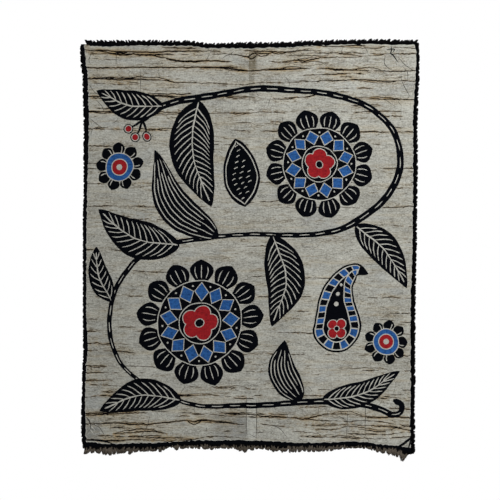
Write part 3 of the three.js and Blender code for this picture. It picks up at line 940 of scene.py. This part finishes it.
edges = np.vstack([triangles[:, [0, 1]], triangles[:, [1, 2]], triangles[:, [2, 0]]])
key = np.sort(edges, axis=1)
_, index, count = np.unique(key, axis=0, return_index=True, return_counts=True)
rim = edges[index[count == 1]]

y = REST - forward(x, z)
front = np.column_stack([x, y - CLOTH_THICK / 2, z])
back = np.column_stack([x, y + CLOTH_THICK / 2, z])
total = len(points)
rim_faces = np.column_stack([rim[:, 1], rim[:, 0], rim[:, 0] + total, rim[:, 1] + total])
faces = triangles.tolist() + (triangles[:, ::-1] + total).tolist() + rim_faces.tolist()
cloth = make_object("batik_cloth", np.vstack([front, back]), faces)

slope_x, slope_z = slope(x, z)
normal = np.column_stack([slope_x, -np.ones(total), slope_z])
normal /= np.linalg.norm(normal, axis=1)[:, None]
cloth.data.normals_split_custom_set_from_vertices(np.vstack([normal, -normal]).tolist())
print(len(cloth.data.vertices), "points,", len(faces), "faces,", len(rim), "rim edges")

# %% [markdown]
# The material has to know what was drawn where. The dye is kept on each triangle, so that its edges
# stay sharp, and the bleed, the warmth and the darkness on each point, so that they run smoothly. The
# layout is a plain view from the front, because a hanging cloth is nearly flat.

# %% Dye, cracks and layout as attributes
def keep(made, name, domain, values):
    """Keeps one number for each point or face of an object, for its material to read."""
    layer = made.data.attributes.new(name, "FLOAT", domain)
    layer.data.foreach_set("value", np.concatenate(values).astype(np.float32))


keep(cloth, "dye", "FACE", [labels, labels, np.full(len(rim), BLACK)])
keep(cloth, "bleed", "POINT", [bleed, bleed])
keep(cloth, "warmth", "POINT", [warmth, warmth])
keep(cloth, "dark", "POINT", [dark, dark])


def flat_layout(made):
    """A UV map that is the piece seen from the front, filling the square."""
    layout = made.data.uv_layers.new(name="OFBake")
    places = np.empty(len(made.data.vertices) * 3, np.float32)
    made.data.vertices.foreach_get("co", places)
    places = places.reshape(-1, 3)[:, [0, 2]]
    low, high = places.min(0), places.max(0)
    corners = np.empty(len(made.data.loops), np.int32)
    made.data.loops.foreach_get("vertex_index", corners)
    layout.data.foreach_set("uv", ((places - low) / (high - low))[corners].astype(np.float32).ravel())


flat_layout(cloth)
print("kept on the cloth:", [layer.name for layer in cloth.data.attributes if layer.data_type == "FLOAT"])

# %% [markdown]
# A small helper makes the materials easy to read. It wraps one socket, and adding or multiplying two
# wrapped sockets adds the Math node for it. Any other node comes from one method.

# %% A socket that can be added and multiplied
class Field:
    """A value or colour that varies over a surface."""

    def __init__(self, tree, socket):
        self.tree, self.socket = tree, socket

    def node(self, kind, settings=None, values=None, output=0):
        """A new node, with its settings made first and then its sockets filled or linked."""
        made = self.tree.nodes.new(kind)
        for name, value in (settings or {}).items():
            setattr(made, name, value)
        for name, value in (values or {}).items():
            if isinstance(value, Field):
                self.tree.links.new(value.socket, made.inputs[name])
            else:
                made.inputs[name].default_value = value
        return Field(self.tree, made.outputs[output])

    def maths(self, operation, *terms):
        return self.node("ShaderNodeMath", {"operation": operation}, dict(enumerate(terms)))

    def __add__(self, other):
        return self.maths("ADD", self, other)

    def __sub__(self, other):
        return self.maths("SUBTRACT", self, other)

    def __rsub__(self, other):
        return self.maths("SUBTRACT", other, self)

    def __mul__(self, other):
        return self.maths("MULTIPLY", self, other)

    __radd__, __rmul__ = __add__, __mul__

    def equals(self, value):
        """1 where this is the whole number value, and 0 elsewhere."""
        return self.maths("COMPARE", self, value, 0.3)

    def between(self, low, high, start=0.0, end=1.0):
        """Eased from start to end as this goes from low to high."""
        values = {"Value": self, "From Min": low, "From Max": high, "To Min": start, "To Max": end}
        return self.node("ShaderNodeMapRange", {"interpolation_type": "SMOOTHSTEP"}, values)

    def window(self, low, high, soft_low, soft_high):
        """1 from low to high, falling to 0 over the soft widths outside them."""
        return self.between(low - soft_low, low) * self.between(high, high + soft_high, 1.0, 0.0)

    def blend(self, first, second):
        """A colour mixed from first to second by this."""
        return self.node("ShaderNodeMix", {"data_type": "RGBA"}, {"Factor": self, 6: first, 7: second}, 2)

    def kept(self, name):
        """A number that was kept on the mesh under a name."""
        return self.node("ShaderNodeAttribute", {"attribute_name": name}, output=2)

    def noise(self, size, detail=2.0, roughness=0.5, seed=0.0):
        """Noise from -1 to 1 on these coordinates. size is the grain in metres along x and z."""
        scale, shift = (1 / size[0], 0.0, 1 / size[1]), (seed, seed * 1.7, -seed)
        scaled = self.node("ShaderNodeVectorMath", {"operation": "MULTIPLY"}, {0: self, 1: scale})
        shifted = scaled.node("ShaderNodeVectorMath", {"operation": "ADD"}, {0: scaled, 1: shift})
        values = {"Vector": shifted, "Scale": 1.0, "Detail": detail, "Roughness": roughness}
        return shifted.node("ShaderNodeTexNoise", {}, values) * 2 - 1


def srgb(red, green, blue):
    """A colour as picked on a screen, from 0 to 255, turned into the linear values that shaders use."""
    channels = (value / 255 for value in (red, green, blue))
    return tuple(c / 12.92 if c <= 0.04045 else ((c + 0.055) / 1.055) ** 2.4 for c in channels) + (1.0,)


def new_finish(name):
    """An empty material, its shader node and its surface coordinates."""
    finish = bpy.data.materials.new(name)
    finish.use_nodes = True
    tree = finish.node_tree
    shader = tree.nodes["Principled BSDF"]
    place_on = Field(tree, tree.nodes.new("ShaderNodeTexCoord").outputs["Object"])
    return finish, shader, place_on


def connect(shader, **inputs):
    """Links fields to the shader's sockets, named with underscores for spaces."""
    for name, field in inputs.items():
        field.tree.links.new(field.socket, shader.inputs[name.replace("_", " ").title()])


# %% [markdown]
# The cloth is one material that reads which dye a triangle has. First its ground: off-white cotton with
# level streaks, a cool haze in places, thicker threads here and there, a fine grain from wax that was
# never quite washed out, and painted light and shade on its crinkles. Each effect is a noise whose grain
# is given in metres along and down the cloth.

# %% Waxed cotton ground
COLOURS = {
    "ground_light": srgb(193, 193, 184),
    "ground_dull": srgb(150, 149, 140),
    "haze": srgb(156, 161, 162),
    "streak": srgb(116, 108, 92),
    "tan": srgb(172, 159, 131),
    "ochre": srgb(150, 124, 84),
    "fine_crack": srgb(64, 56, 46),
    "painted_highlight": srgb(214, 214, 206),
    "crack": srgb(16, 12, 10),
    "crack_pale": srgb(54, 43, 32),
    "hair": srgb(50, 47, 43),
    "black": srgb(5, 7, 12),
    "black_worn": srgb(20, 21, 27),
    "blue": srgb(48, 96, 158),
    "blue_deep": srgb(24, 54, 100),
    "red": srgb(154, 34, 38),
    "red_deep": srgb(108, 22, 30),
    "wax": srgb(184, 183, 175),
    "wax_dull": srgb(138, 137, 130),
}

batik, shader, place_on = new_finish("dyed_cotton")
dye_field, bleed_field = place_on.kept("dye"), place_on.kept("bleed")
warmth_field, dark_field = place_on.kept("warmth"), place_on.kept("dark")
across = place_on.node("ShaderNodeSeparateXYZ", {}, {0: place_on}, output=0)
height = place_on.node("ShaderNodeSeparateXYZ", {}, {0: place_on}, output=2)

streak = place_on.noise((0.080, 0.0022), 3.0, 0.6, 1.0)
cloud = place_on.noise((0.090, 0.050), 3.0, 0.55, 4.0)
thread_across = place_on.noise((0.024, 0.0016), 1.0, 0.5, 7.0)
thread_down = place_on.noise((0.0016, 0.030), 1.0, 0.5, 9.0)
mottle = place_on.noise((0.0060, 0.0045), 3.0, 0.65, 12.0)
grain = place_on.noise((0.0042, 0.0028), 2.0, 0.7, 17.0)
crinkle = place_on.noise((0.028, 0.0065), 3.0, 0.6, 23.0)
weave = thread_across + thread_down

# Painted light and shade: the crinkle term lightens and darkens the ground along the crinkles. The other
# terms are the cotton's own uneven tone.
dullness_and_crinkle_shade = streak * 0.22 + cloud * 0.4 + weave * 0.12 + grain * 0.9 + crinkle * 0.35 + 0.45
ground = dullness_and_crinkle_shade.between(0.0, 0.9).blend(COLOURS["ground_light"], COLOURS["ground_dull"])
haze = place_on.noise((0.10, 0.06), 3.0, 0.55, 20.0).between(0.0, 0.5)
ground = (haze * 0.5).blend(ground, COLOURS["haze"])
fine_lines = place_on.noise((0.040, 0.0021), 2.0, 0.55, 27.0).between(0.22, 0.62)
ground = (fine_lines * 0.3).blend(ground, COLOURS["streak"])

# %% [markdown]
# Then its stains, and a few patches of painted light and shade. The cracks bleed ochre, wide and thin at
# first, then narrow and strong. A table gives the patches: painted shade beside the fold at the top and
# left of the fold low down, a painted highlight on the paler strip between two creases there, a darker
# blue-grey patch at the crushed corner at the lower left, and two stains near the top edge.

# %% Stains, painted shade and a painted highlight
# Each row spans x and z in millimetres, and fades out over its soft widths beyond them. The first two
# rows are painted shade beside the fold at the top, the third painted shade left of the fold low down,
# the fourth a painted highlight between two creases, the fifth a darker patch at the crushed lower left
# corner, and the last two are stains.
STAINS_AND_PAINTED_LIGHT = [
    dict(x=(-3, 8), soft_x=(0.8, 9), z=(-44, 10), soft_z=14, colour=srgb(100, 93, 76), share=1.2),
    dict(x=(-3, 4), soft_x=(0.8, 9), z=(-106, -44), soft_z=14, colour=srgb(112, 108, 94), share=0.8),
    dict(x=(-60, -9), soft_x=(40, 1), z=(-842, -796), soft_z=40, colour=srgb(108, 111, 112), share=0.6),
    dict(x=(-8, 11), soft_x=(0.8, 1), z=(-846, -756), soft_z=20, colour=srgb(194, 196, 190), share=0.7),
    dict(x=(-356, -326), soft_x=(2, 10), z=(-846, -806), soft_z=10, colour=srgb(96, 100, 104), share=0.6),
    dict(x=(-176, -112), soft_x=(14, 14), z=(-4, 8), soft_z=4, colour=srgb(92, 74, 54), share=0.6),
    dict(x=(-356, -346), soft_x=(2, 5), z=(-9, 10), soft_z=5, colour=srgb(150, 132, 104), share=0.6),
]

patchy = place_on.noise((0.055, 0.010), 3.0, 0.6, 15.0)
wide = warmth_field.between(0.3, 2.0) * patchy.between(-0.4, 0.5, 0.15, 0.75)
ground = wide.blend(ground, COLOURS["tan"])
drift = place_on.noise((0.15, 0.013), 3.0, 0.6, 61.0).between(-0.05, 0.5)
ground = (drift * 0.42).blend(ground, COLOURS["tan"])
narrow = (bleed_field + grain * 0.3 + mottle * 0.15).between(0.12, 0.85)
narrow = narrow * patchy.between(-0.5, 0.3, 0.25, 0.82)
ground = narrow.blend(ground, COLOURS["ochre"])
patch_mottle = (crinkle * 0.8 + mottle * 0.6).between(-0.7, 0.6, 0.35, 1.0)
# The table's painted shade, painted highlight and stains, each mottled and blended into the ground.
for patch_row in STAINS_AND_PAINTED_LIGHT:
    across_mask = across.window(*(value * MM for value in patch_row["x"] + patch_row["soft_x"]))
    height_mask = height.window(*(value * MM for value in patch_row["z"] + (patch_row["soft_z"],) * 2))
    ground = (across_mask * height_mask * patch_mottle * patch_row["share"]).blend(ground, patch_row["colour"])
print(len(STAINS_AND_PAINTED_LIGHT), "soiled or rubbed places")

# %% [markdown]
# Between the drawn cracks lies a fainter network, too fine to be worth drawing as shapes. Where a noise
# passes through zero it makes a thin wandering line, and a second noise lets the line come and go.
# Stretched along the cloth it gives fine level cracks, and left round it gives crumple marks. The same
# trick, kept to the raised crinkles, paints thin pale highlights on them.

# %% Fine network of cracks
def zero_line(noise, half):
    """1 on the line where a noise passes zero, falling to 0 at the value half."""
    return noise.maths("ABSOLUTE", noise).between(0.0, half, 1.0, 0.0)


come_and_go = place_on.noise((0.060, 0.016), 2.0, 0.55, 35.0) + (warmth_field - 0.6) * 0.18
come_and_go = come_and_go.between(-0.15, 0.25)
level_noise = place_on.noise((0.075, 0.0100), 4.0, 0.66, 33.0)
second_noise = place_on.noise((0.055, 0.0090), 4.0, 0.66, 53.0)
minute_noise = place_on.noise((0.021, 0.0056), 3.0, 0.62, 38.0)
highlight_line_noise = place_on.noise((0.026, 0.0070), 3.0, 0.62, 47.0)
crumple = zero_line(place_on.noise((0.019, 0.013), 3.0, 0.6, 41.0), 0.05)
crumple = crumple * place_on.noise((0.05, 0.03), 1.0, 0.5, 44.0).between(-0.05, 0.25)
ground = (zero_line(level_noise, 0.17) * come_and_go * 0.4).blend(ground, COLOURS["tan"])
# Painted highlights: thin pale lines kept to the raised crinkles.
painted_crinkle_highlights = zero_line(highlight_line_noise, 0.07) * crinkle.between(-0.2, 0.3)
ground = (painted_crinkle_highlights * 0.45).blend(ground, COLOURS["painted_highlight"])
ground = (zero_line(minute_noise, 0.09) * 0.28).blend(ground, COLOURS["fine_crack"])
ground = (crumple * 0.42).blend(ground, COLOURS["fine_crack"])
ground = (zero_line(second_noise, 0.035) * (1 - come_and_go) * 0.5).blend(ground, COLOURS["fine_crack"])
ground = (zero_line(level_noise, 0.045) * come_and_go * 0.95).blend(ground, COLOURS["fine_crack"])

# %% [markdown]
# Last the dyes over it. Black is a deep blue-black, blue and red are mottled where the dye took
# unevenly, and a crack is the darker the more dye it drank. The gloss, which is next to none, is set on
# the shader itself.

# %% Dyes and relief
black = (mottle * 0.4 + weave * 0.2).between(0.1, 0.7).blend(COLOURS["black"], COLOURS["black_worn"])
blue = (mottle * 0.6 + grain * 0.4 + weave * 0.2).between(-0.35, 0.5)
blue = blue.blend(COLOURS["blue"], COLOURS["blue_deep"])
red = (mottle * 0.6 + grain * 0.3 + weave * 0.2).between(-0.3, 0.6)
red = red.blend(COLOURS["red"], COLOURS["red_deep"])
wax = (mottle * 0.7 + grain * 0.4 + weave * 0.2).between(-0.3, 0.8)
wax = wax.blend(COLOURS["wax"], COLOURS["wax_dull"])
ink = dark_field + place_on.noise((0.010, 0.004), 2.0, 0.6, 30.0) * 0.3
crack_colour = ink.between(0.15, 0.55).blend(COLOURS["crack_pale"], COLOURS["crack"])
crack_colour = ink.between(0.0, 0.35, 0.5, 1.0).blend(ground, crack_colour)
hair_colour = grain.between(-0.5, 0.5, 0.65, 1.0).blend(ground, COLOURS["hair"])

surface = ground
layers = ((BLACK, black), (BLUE, blue), (RED, red), (WAX, wax), (CRACK, crack_colour), (HAIR, hair_colour))
for value, colour in layers:
    surface = dye_field.equals(float(value)).blend(surface, colour)

groove = bleed_field.between(0.5, 1.1)
relief = thread_across * 0.25 + thread_down * 0.25 + mottle * 0.3 + crinkle * 1.1
relief = relief - groove * 0.6 - crumple * 0.5
bump = relief.node("ShaderNodeBump", {}, {"Height": relief, "Strength": 0.8, "Distance": 0.0011})
connect(shader, base_color=surface, roughness=0.88 + weave * 0.04, normal=bump)
shader.inputs["Specular IOR Level"].default_value = 0.03
cloth.data.materials.append(batik)
print("cloth material has", len(batik.node_tree.nodes), "nodes")

# %% [markdown]
# The raw edges. Threads that have come loose from the weave stand out beyond the border: short black
# tufts along the top, stubby nubs down the sides, and a grey-brown mat of longer threads below. A
# thread is a tapered three-sided tube, and thousands are made at once with array arithmetic. Hair
# particles would look alike, but they would leave no mesh. A narrow felted band under the
# threads fills the gaps between them.

# %% Edges and their threads
SIDES = {
    "top": dict(start=(9 / WIDTH, 0.0), end=(1.0, 0.0), out=(0.0, 0.0, 1.0), length=WIDTH),
    "bottom": dict(start=(0.0, 1.0), end=(1.0, 1.0), out=(0.0, 0.0, -1.0), length=WIDTH),
    "left": dict(start=(0.0, 0.0), end=(0.0, 1.0), out=(-1.0, 0.0, 0.0), length=DROP),
    "right": dict(start=(1.0, 0.0), end=(1.0, 1.0), out=(1.0, 0.0, 0.0), length=DROP),
}
LEVEL_SIDES = ("top", "bottom")
THREADS = {
    "top": {
        "at": (-351, -240, -222, -129, -82, -30, 10, 60, 217, 299, 351),
        "length": (9.2, 8.7, 7.8, 7.2, 7.2, 9.8, 9.2, 7.5, 7.2, 7.8, 6.2),
        "lean": (-0.75, -0.75, 0.6, 0.6, 0.6, 0.65, 0.65, 0.7, 0.7, 0.75, 0.8),
    },
    "bottom": {
        "at": (-351, -330, -300, -262, -236, -190, -173, -155, -128, -85, -60, -36, -18,
               -4, 22, 68, 110, 160, 200, 240, 285, 316, 331, 338, 343),
        "length": (12, 12, 15, 13, 10, 8, 2, 10, 6.5, 9, 6.5, 8, 15,
                   9.5, 7.5, 12.5, 11, 11, 5.5, 5, 10, 16, 19, 4, 1),
        "lean": (-0.1, 0, 0, -0.1, -0.2, -0.1, 0, -0.1, 0.1, 0, 0, 0, 0.1,
                 0, 0, -0.15, -0.2, -0.1, -0.1, 0, -0.1, -0.1, -0.1, 0, 0),
    },
    "left": {
        "at": (-870, -819, -720, -650, -590, -412, -326, -200, -60, -10, 8),
        "length": (4.6, 5.2, 3.8, 5.6, 4, 3.6, 4.6, 6.8, 7.2, 6.2, 4.4),
        "lean": (-0.25,) * 11,
    },
    "right": {
        "at": (-870, -819, -776, -712, -583, -412, -177, -70, -37, 8),
        "length": (6.4, 7.4, 5.4, 7.2, 7.6, 6.2, 6.9, 6.6, 4.4, 4.6),
        "lean": (0.3,) * 10,
    },
}
DYED_LENGTH = {"least": -3.0, "most": 4.5, "tufts": 260}  # where a bottom thread turns from black to brown
YARN_SIDES = 3
TIP_TAPER = 0.5


def on_edge(side, share):
    """Root points of an edge as x, y, z, and the coordinate that its thread table runs along."""
    row = SIDES[side]
    across = row["start"][0] + (row["end"][0] - row["start"][0]) * share
    down = row["start"][1] + (row["end"][1] - row["start"][1]) * share
    x, z = spread(across, down)
    return np.column_stack([x, REST - forward(x, z), z]), (x if side in LEVEL_SIDES else z)


def thread_mesh(centres, radius):
    """Tapered tubes round rows of centre points. Returns points, faces and the share along each thread."""
    count, steps = centres.shape[:2]
    run = np.gradient(centres, axis=1)
    run /= np.maximum(np.linalg.norm(run, axis=2, keepdims=True), 1e-9)
    flat = np.cross(run, [0.0, 1.0, 0.0])
    flat /= np.maximum(np.linalg.norm(flat, axis=2, keepdims=True), 1e-9)
    deep = np.cross(run, flat)
    angle = np.arange(YARN_SIDES) / YARN_SIDES * 2 * np.pi
    ring = flat[:, :, None] * np.cos(angle)[:, None] + deep[:, :, None] * np.sin(angle)[:, None]
    points = (centres[:, :, None] + ring * radius[:, :, None, None]).reshape(-1, 3)
    base = (np.arange(count) * steps * YARN_SIDES)[:, None, None]
    step = (np.arange(steps - 1) * YARN_SIDES)[:, None]
    here, there = np.arange(YARN_SIDES), (np.arange(YARN_SIDES) + 1) % YARN_SIDES
    near, far = base + step + here, base + step + there
    corners = np.broadcast_arrays(near, far, far + YARN_SIDES, near + YARN_SIDES)
    quads = np.stack(corners, axis=-1).reshape(-1, 4)
    caps = np.concatenate([base[:, 0] + here[::-1], base[:, 0] + here + (steps - 1) * YARN_SIDES])
    share = np.repeat(np.tile(np.linspace(0, 1, steps), count), YARN_SIDES)
    return points, quads.tolist() + caps.tolist(), share


# %% [markdown]
# Loose threads don't stand alone. They lean, cling together in tufts whose tips draw in, and differ in
# length from tuft to tuft. All of that is a few random numbers for each thread and each tuft, added to
# the slow changes that the tables above give.

# %% Grow the threads of one edge
def grow(side, count, tufts, thick, steps, gather, dome, ragged, inset, seed):
    """Threads of one edge, rooted inset millimetres inside it. From 0 to 1, gather is how far the tips of
    a tuft draw together, dome how much shorter its outer threads are, and ragged how unequal tufts and
    threads are in length. Returns points, faces, the share along each thread, and how far past the dye
    of the border each point lies."""
    pick = np.random.default_rng(seed)
    share = np.sort(pick.random(count))
    root, key = on_edge(side, share)
    table = THREADS[side]
    ends = np.arange(tufts + 1) + np.concatenate([[0], pick.uniform(-0.45, 0.45, tufts - 1), [0]])
    ends /= tufts
    tuft = np.clip(np.searchsorted(ends, share) - 1, 0, tufts - 1)
    tuft_share = (ends[tuft] + ends[tuft + 1]) / 2
    to_tuft = (tuft_share - share) * SIDES[side]["length"] * gather
    tuft_length = 1 + ragged * (0.34 * pick.random(tufts)[tuft] - 0.20)
    off_middle = (share - tuft_share) / (ends[tuft + 1] - ends[tuft]) * 2
    bow = 1 - dome + dome * np.sqrt(1 - np.clip(np.abs(off_middle), 0, 1) ** 2)
    uneven = 1 + ragged * pick.uniform(-0.14, 0.08, count)
    length = eased(table, key, "length") * tuft_length * bow * uneven
    lean = eased(table, key, "lean") + pick.normal(0, 0.14, tufts)[tuft] + pick.normal(0, 0.05, count)
    out = np.array(SIDES[side]["out"])
    along = np.abs(out[::-1])
    run_way = 1 if side in LEVEL_SIDES else -1
    t = np.linspace(0, 1, steps)
    reach = (length[:, None] + inset) * t - inset
    sway = lean[:, None] * np.maximum(reach, 0) + run_way * to_tuft[:, None] * t**1.5
    waver = pick.normal(0, 0.35, (count, 1))
    sway += waver * np.sin(t * 3.1 + pick.random((count, 1)) * 6) * length[:, None] / 8
    depth = pick.normal(-0.25, 0.5, (count, 1)) + pick.normal(0, 0.09, (count, 1)) * length[:, None] * t**2
    centres = root[:, None] + reach[:, :, None] * out + sway[:, :, None] * along
    centres[:, :, 1] += depth
    radius = thick / 2 * pick.uniform(0.75, 1.25, (count, 1)) * (1 - TIP_TAPER * t**2)
    dyed = pick.uniform(DYED_LENGTH["least"], DYED_LENGTH["most"], DYED_LENGTH["tufts"])
    dyed = dyed[(share * DYED_LENGTH["tufts"]).astype(int)] + pick.normal(0, 0.5, count)
    points, faces, share = thread_mesh(centres, radius)
    return points, faces, share, np.repeat((reach - dyed[:, None]).ravel(), YARN_SIDES)


# %% [markdown]
# At their roots the loose threads are matted together. A closed band with a ragged outer edge stands
# for that mat, so that no light shows between the threads near the cloth.

# %% The felted band at the roots
FELT_PITCH = 1.6
# Rows from the root outwards: reach is millimetres below 0 and a share of the length above it, half is half
# the thickness, and undyed is how far past the border's dye the row lies.
FELT_ROWS = [
    dict(reach=-1.5, half=0.25, share=0.0, undyed=-4.0),
    dict(reach=0.25, half=0.42, share=0.25, undyed=-0.8),
    dict(reach=0.7, half=0.32, share=0.7, undyed=1.5),
    dict(reach=1.0, half=0.12, share=1.0, undyed=3.5),
]


def felt(side, share_of_length, seed):
    """A thin ragged band at the roots of an edge's threads."""
    pick = np.random.default_rng(seed)
    size = SIDES[side]["length"]
    share = np.linspace(0, 1, round(size / FELT_PITCH))
    root, key = on_edge(side, share)
    length = eased(THREADS[side], key, "length") * share_of_length
    length = length * (0.75 + 0.35 * pick.random(len(share))) * (0.85 + 0.25 * np.sin(share * size / 3.7))
    out = np.array(SIDES[side]["out"])
    front, back = [], []
    for row in FELT_ROWS:
        place_out = root + out * np.where(row["reach"] > 0, length * row["reach"], row["reach"])[:, None]
        front.append(place_out - [0, row["half"], 0])
        back.append(place_out + [0, row["half"], 0])
    points = np.stack(front + back[::-1], axis=1)
    count, around = points.shape[:2]
    index = np.arange(count * around).reshape(count, around)
    here, there = index[:-1], index[1:]
    quads = np.stack([here, np.roll(here, -1, 1), np.roll(there, -1, 1), there], axis=-1).reshape(-1, 4)
    ends = [index[0][::-1].tolist(), index[-1].tolist()]
    out_and_back = FELT_ROWS + FELT_ROWS[::-1]
    share_out = np.tile([row["share"] for row in out_and_back], count)
    undyed = np.tile([row["undyed"] for row in out_and_back], count)
    return points.reshape(-1, 3), quads.tolist() + ends, share_out, undyed


# %% [markdown]
# Each edge becomes one piece: its felted band and its threads joined in one mesh, with the share along
# each thread kept as an attribute so that the finish can darken the tips.

# %% Four frayed edges
FRINGES = [
    dict(side="top", count=4800, tufts=86, thick=1.7, steps=4,
         gather=0.55, dome=0.3, ragged=0.8, inset=1.6, felt=0.86, seed=31),
    dict(side="left", count=3200, tufts=84, thick=1.9, steps=3,
         gather=0.2, dome=0.4, ragged=0.5, inset=1.6, felt=0.92, seed=32),
    dict(side="right", count=3200, tufts=84, thick=1.9, steps=3,
         gather=0.2, dome=0.4, ragged=0.5, inset=1.6, felt=0.92, seed=33),
    dict(side="bottom", count=6000, tufts=84, thick=1.3, steps=5,
         gather=0.3, dome=0.25, ragged=1.0, inset=3.5, felt=0.82, seed=34),
]


def fringe_piece(row):
    """One edge's threads and felted band as one object."""
    threads = grow(**{name: value for name, value in row.items() if name != "felt"})
    band = felt(row["side"], row["felt"], row["seed"] + 50)
    offset = len(threads[0])
    faces = threads[1] + [[index + offset for index in face] for face in band[1]]
    made = make_object(row["side"] + "_threads", np.vstack([threads[0], band[0]]), faces)
    keep(made, "tip", "POINT", [threads[2], band[2]])
    keep(made, "undyed", "POINT", [threads[3], band[3]])
    return made


fringes = {row["side"]: fringe_piece(row) for row in FRINGES}
print({side: len(made.data.polygons) for side, made in fringes.items()})

# %% [markdown]
# Two yarn finishes: black for the dyed threads, and grey-brown, darker at the tips, for the mat below.
# There the dye of the border ran a little way into the threads, more in some tufts than in others.

# %% Yarn
def yarn(name, light, dark, tips, roots=None):
    """A streaked, nearly matt thread finish, with its own colour at the tips and, if given, the roots."""
    finish, shader, place_on = new_finish(name)
    tip = place_on.kept("tip")
    strand = place_on.noise((0.0012, 0.006), 2.0, 0.6, 3.0)
    patch = place_on.noise((0.018, 0.012), 2.0, 0.5, 6.0)
    colour = (strand * 0.5 + patch * 0.5).between(-0.4, 0.5).blend(light, dark)
    colour = (tip.between(0.45, 1.0) * 0.6).blend(colour, tips)
    if roots:
        colour = (place_on.kept("undyed") + strand).between(-0.6, 0.6).blend(roots, colour)
    connect(shader, base_color=colour, roughness=0.9 + strand * 0.05)
    shader.inputs["Specular IOR Level"].default_value = 0.05
    return finish


black_yarn = yarn("black_yarn", srgb(8, 8, 10), srgb(4, 4, 6), srgb(20, 19, 21))
grey_yarn = yarn("grey_yarn", srgb(118, 109, 98), srgb(80, 73, 65), srgb(62, 56, 50), srgb(7, 7, 9))
for side, made in fringes.items():
    made.data.materials.append(grey_yarn if side == "bottom" else black_yarn)
print({side: made.data.materials[0].name for side, made in fringes.items()})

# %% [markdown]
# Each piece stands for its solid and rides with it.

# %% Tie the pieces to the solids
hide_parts("cloth")
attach(cloth, "root")
for side, made in fringes.items():
    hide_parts(f"{side}_fringe")
    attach(made, "root")

# %% [markdown]
# The studio: a plain pale floor below the hanging, and four round area lights. The key stands near the
# cloth at its upper right, because the photograph is brightest there and darkest at the lower left, and
# for the same reason the fill from the left is next to nothing. One light behind the cloth and one
# above it keep the other views from going dark. The surround is white where the camera sees it, and
# lights the cloth only weakly.

# %% Floor
FLOOR_DROP = 0.55
FLOOR_RADIUS = 2.6
FLOOR_SIDES = 96
floor_turn = np.arange(FLOOR_SIDES) / FLOOR_SIDES * 2 * np.pi
floor_points = np.column_stack([np.cos(floor_turn), np.sin(floor_turn), np.zeros(FLOOR_SIDES)])
floor = make_object("floor", floor_points * FLOOR_RADIUS / MM, [list(range(FLOOR_SIDES))])
floor.location.z = cad_low.z - FLOOR_DROP

floor_finish, floor_shader, floor_place = new_finish("pale_floor")
distance = floor_place.node("ShaderNodeVectorMath", {"operation": "LENGTH"}, {0: floor_place}, 1)
floor_shader.inputs["Base Color"].default_value = srgb(245, 245, 243)
floor_shader.inputs["Roughness"].default_value = 0.9
connect(floor_shader, alpha=distance.between(FLOOR_RADIUS * 0.5, FLOOR_RADIUS * 0.98, 1.0, 0.0))
floor.data.materials.append(floor_finish)

# %% Lights
LIGHTS = [
    dict(name="key", at=(1.2, -1.35, 0.72), size=0.8, watts=38),
    dict(name="fill", at=(-2.2, -2.2, 0.2), size=2.0, watts=1),
    dict(name="back", at=(0.6, 2.8, 0.6), size=2.0, watts=40),
    dict(name="overhead", at=(0.0, 0.0, 2.6), size=3.0, watts=40),
]
AIM = Vector((0, 0, -0.43))

for row in LIGHTS:
    lamp = bpy.data.lights.new(row["name"], "AREA")
    lamp.shape, lamp.size, lamp.energy = "DISK", row["size"], row["watts"]
    holder = bpy.data.objects.new(row["name"], lamp)
    bpy.context.scene.collection.objects.link(holder)
    holder.location = row["at"]
    holder.rotation_euler = (AIM - holder.location).to_track_quat("-Z", "Y").to_euler()
print("lights:", {row["name"]: row["watts"] for row in LIGHTS})

# %% Surround
SURROUND = 0.19
world = bpy.data.worlds.new("surround")
bpy.context.scene.world = world
world.use_nodes = True
sky = world.node_tree
white = sky.nodes["Background"]
white.inputs["Color"].default_value = (1, 1, 1, 1)
white.inputs["Strength"].default_value = SURROUND
seen = sky.nodes.new("ShaderNodeBackground")
seen.inputs["Color"].default_value = (1, 1, 1, 1)
seen.inputs["Strength"].default_value = 1.0
path = sky.nodes.new("ShaderNodeLightPath")
choose = sky.nodes.new("ShaderNodeMixShader")
sky.links.new(path.outputs["Is Camera Ray"], choose.inputs["Fac"])
sky.links.new(white.outputs["Background"], choose.inputs[1])
sky.links.new(seen.outputs["Background"], choose.inputs[2])
sky.links.new(choose.outputs["Shader"], sky.nodes["World Output"].inputs["Surface"])
bpy.context.scene.view_settings.view_transform = "Standard"
print("surround lights with", SURROUND)
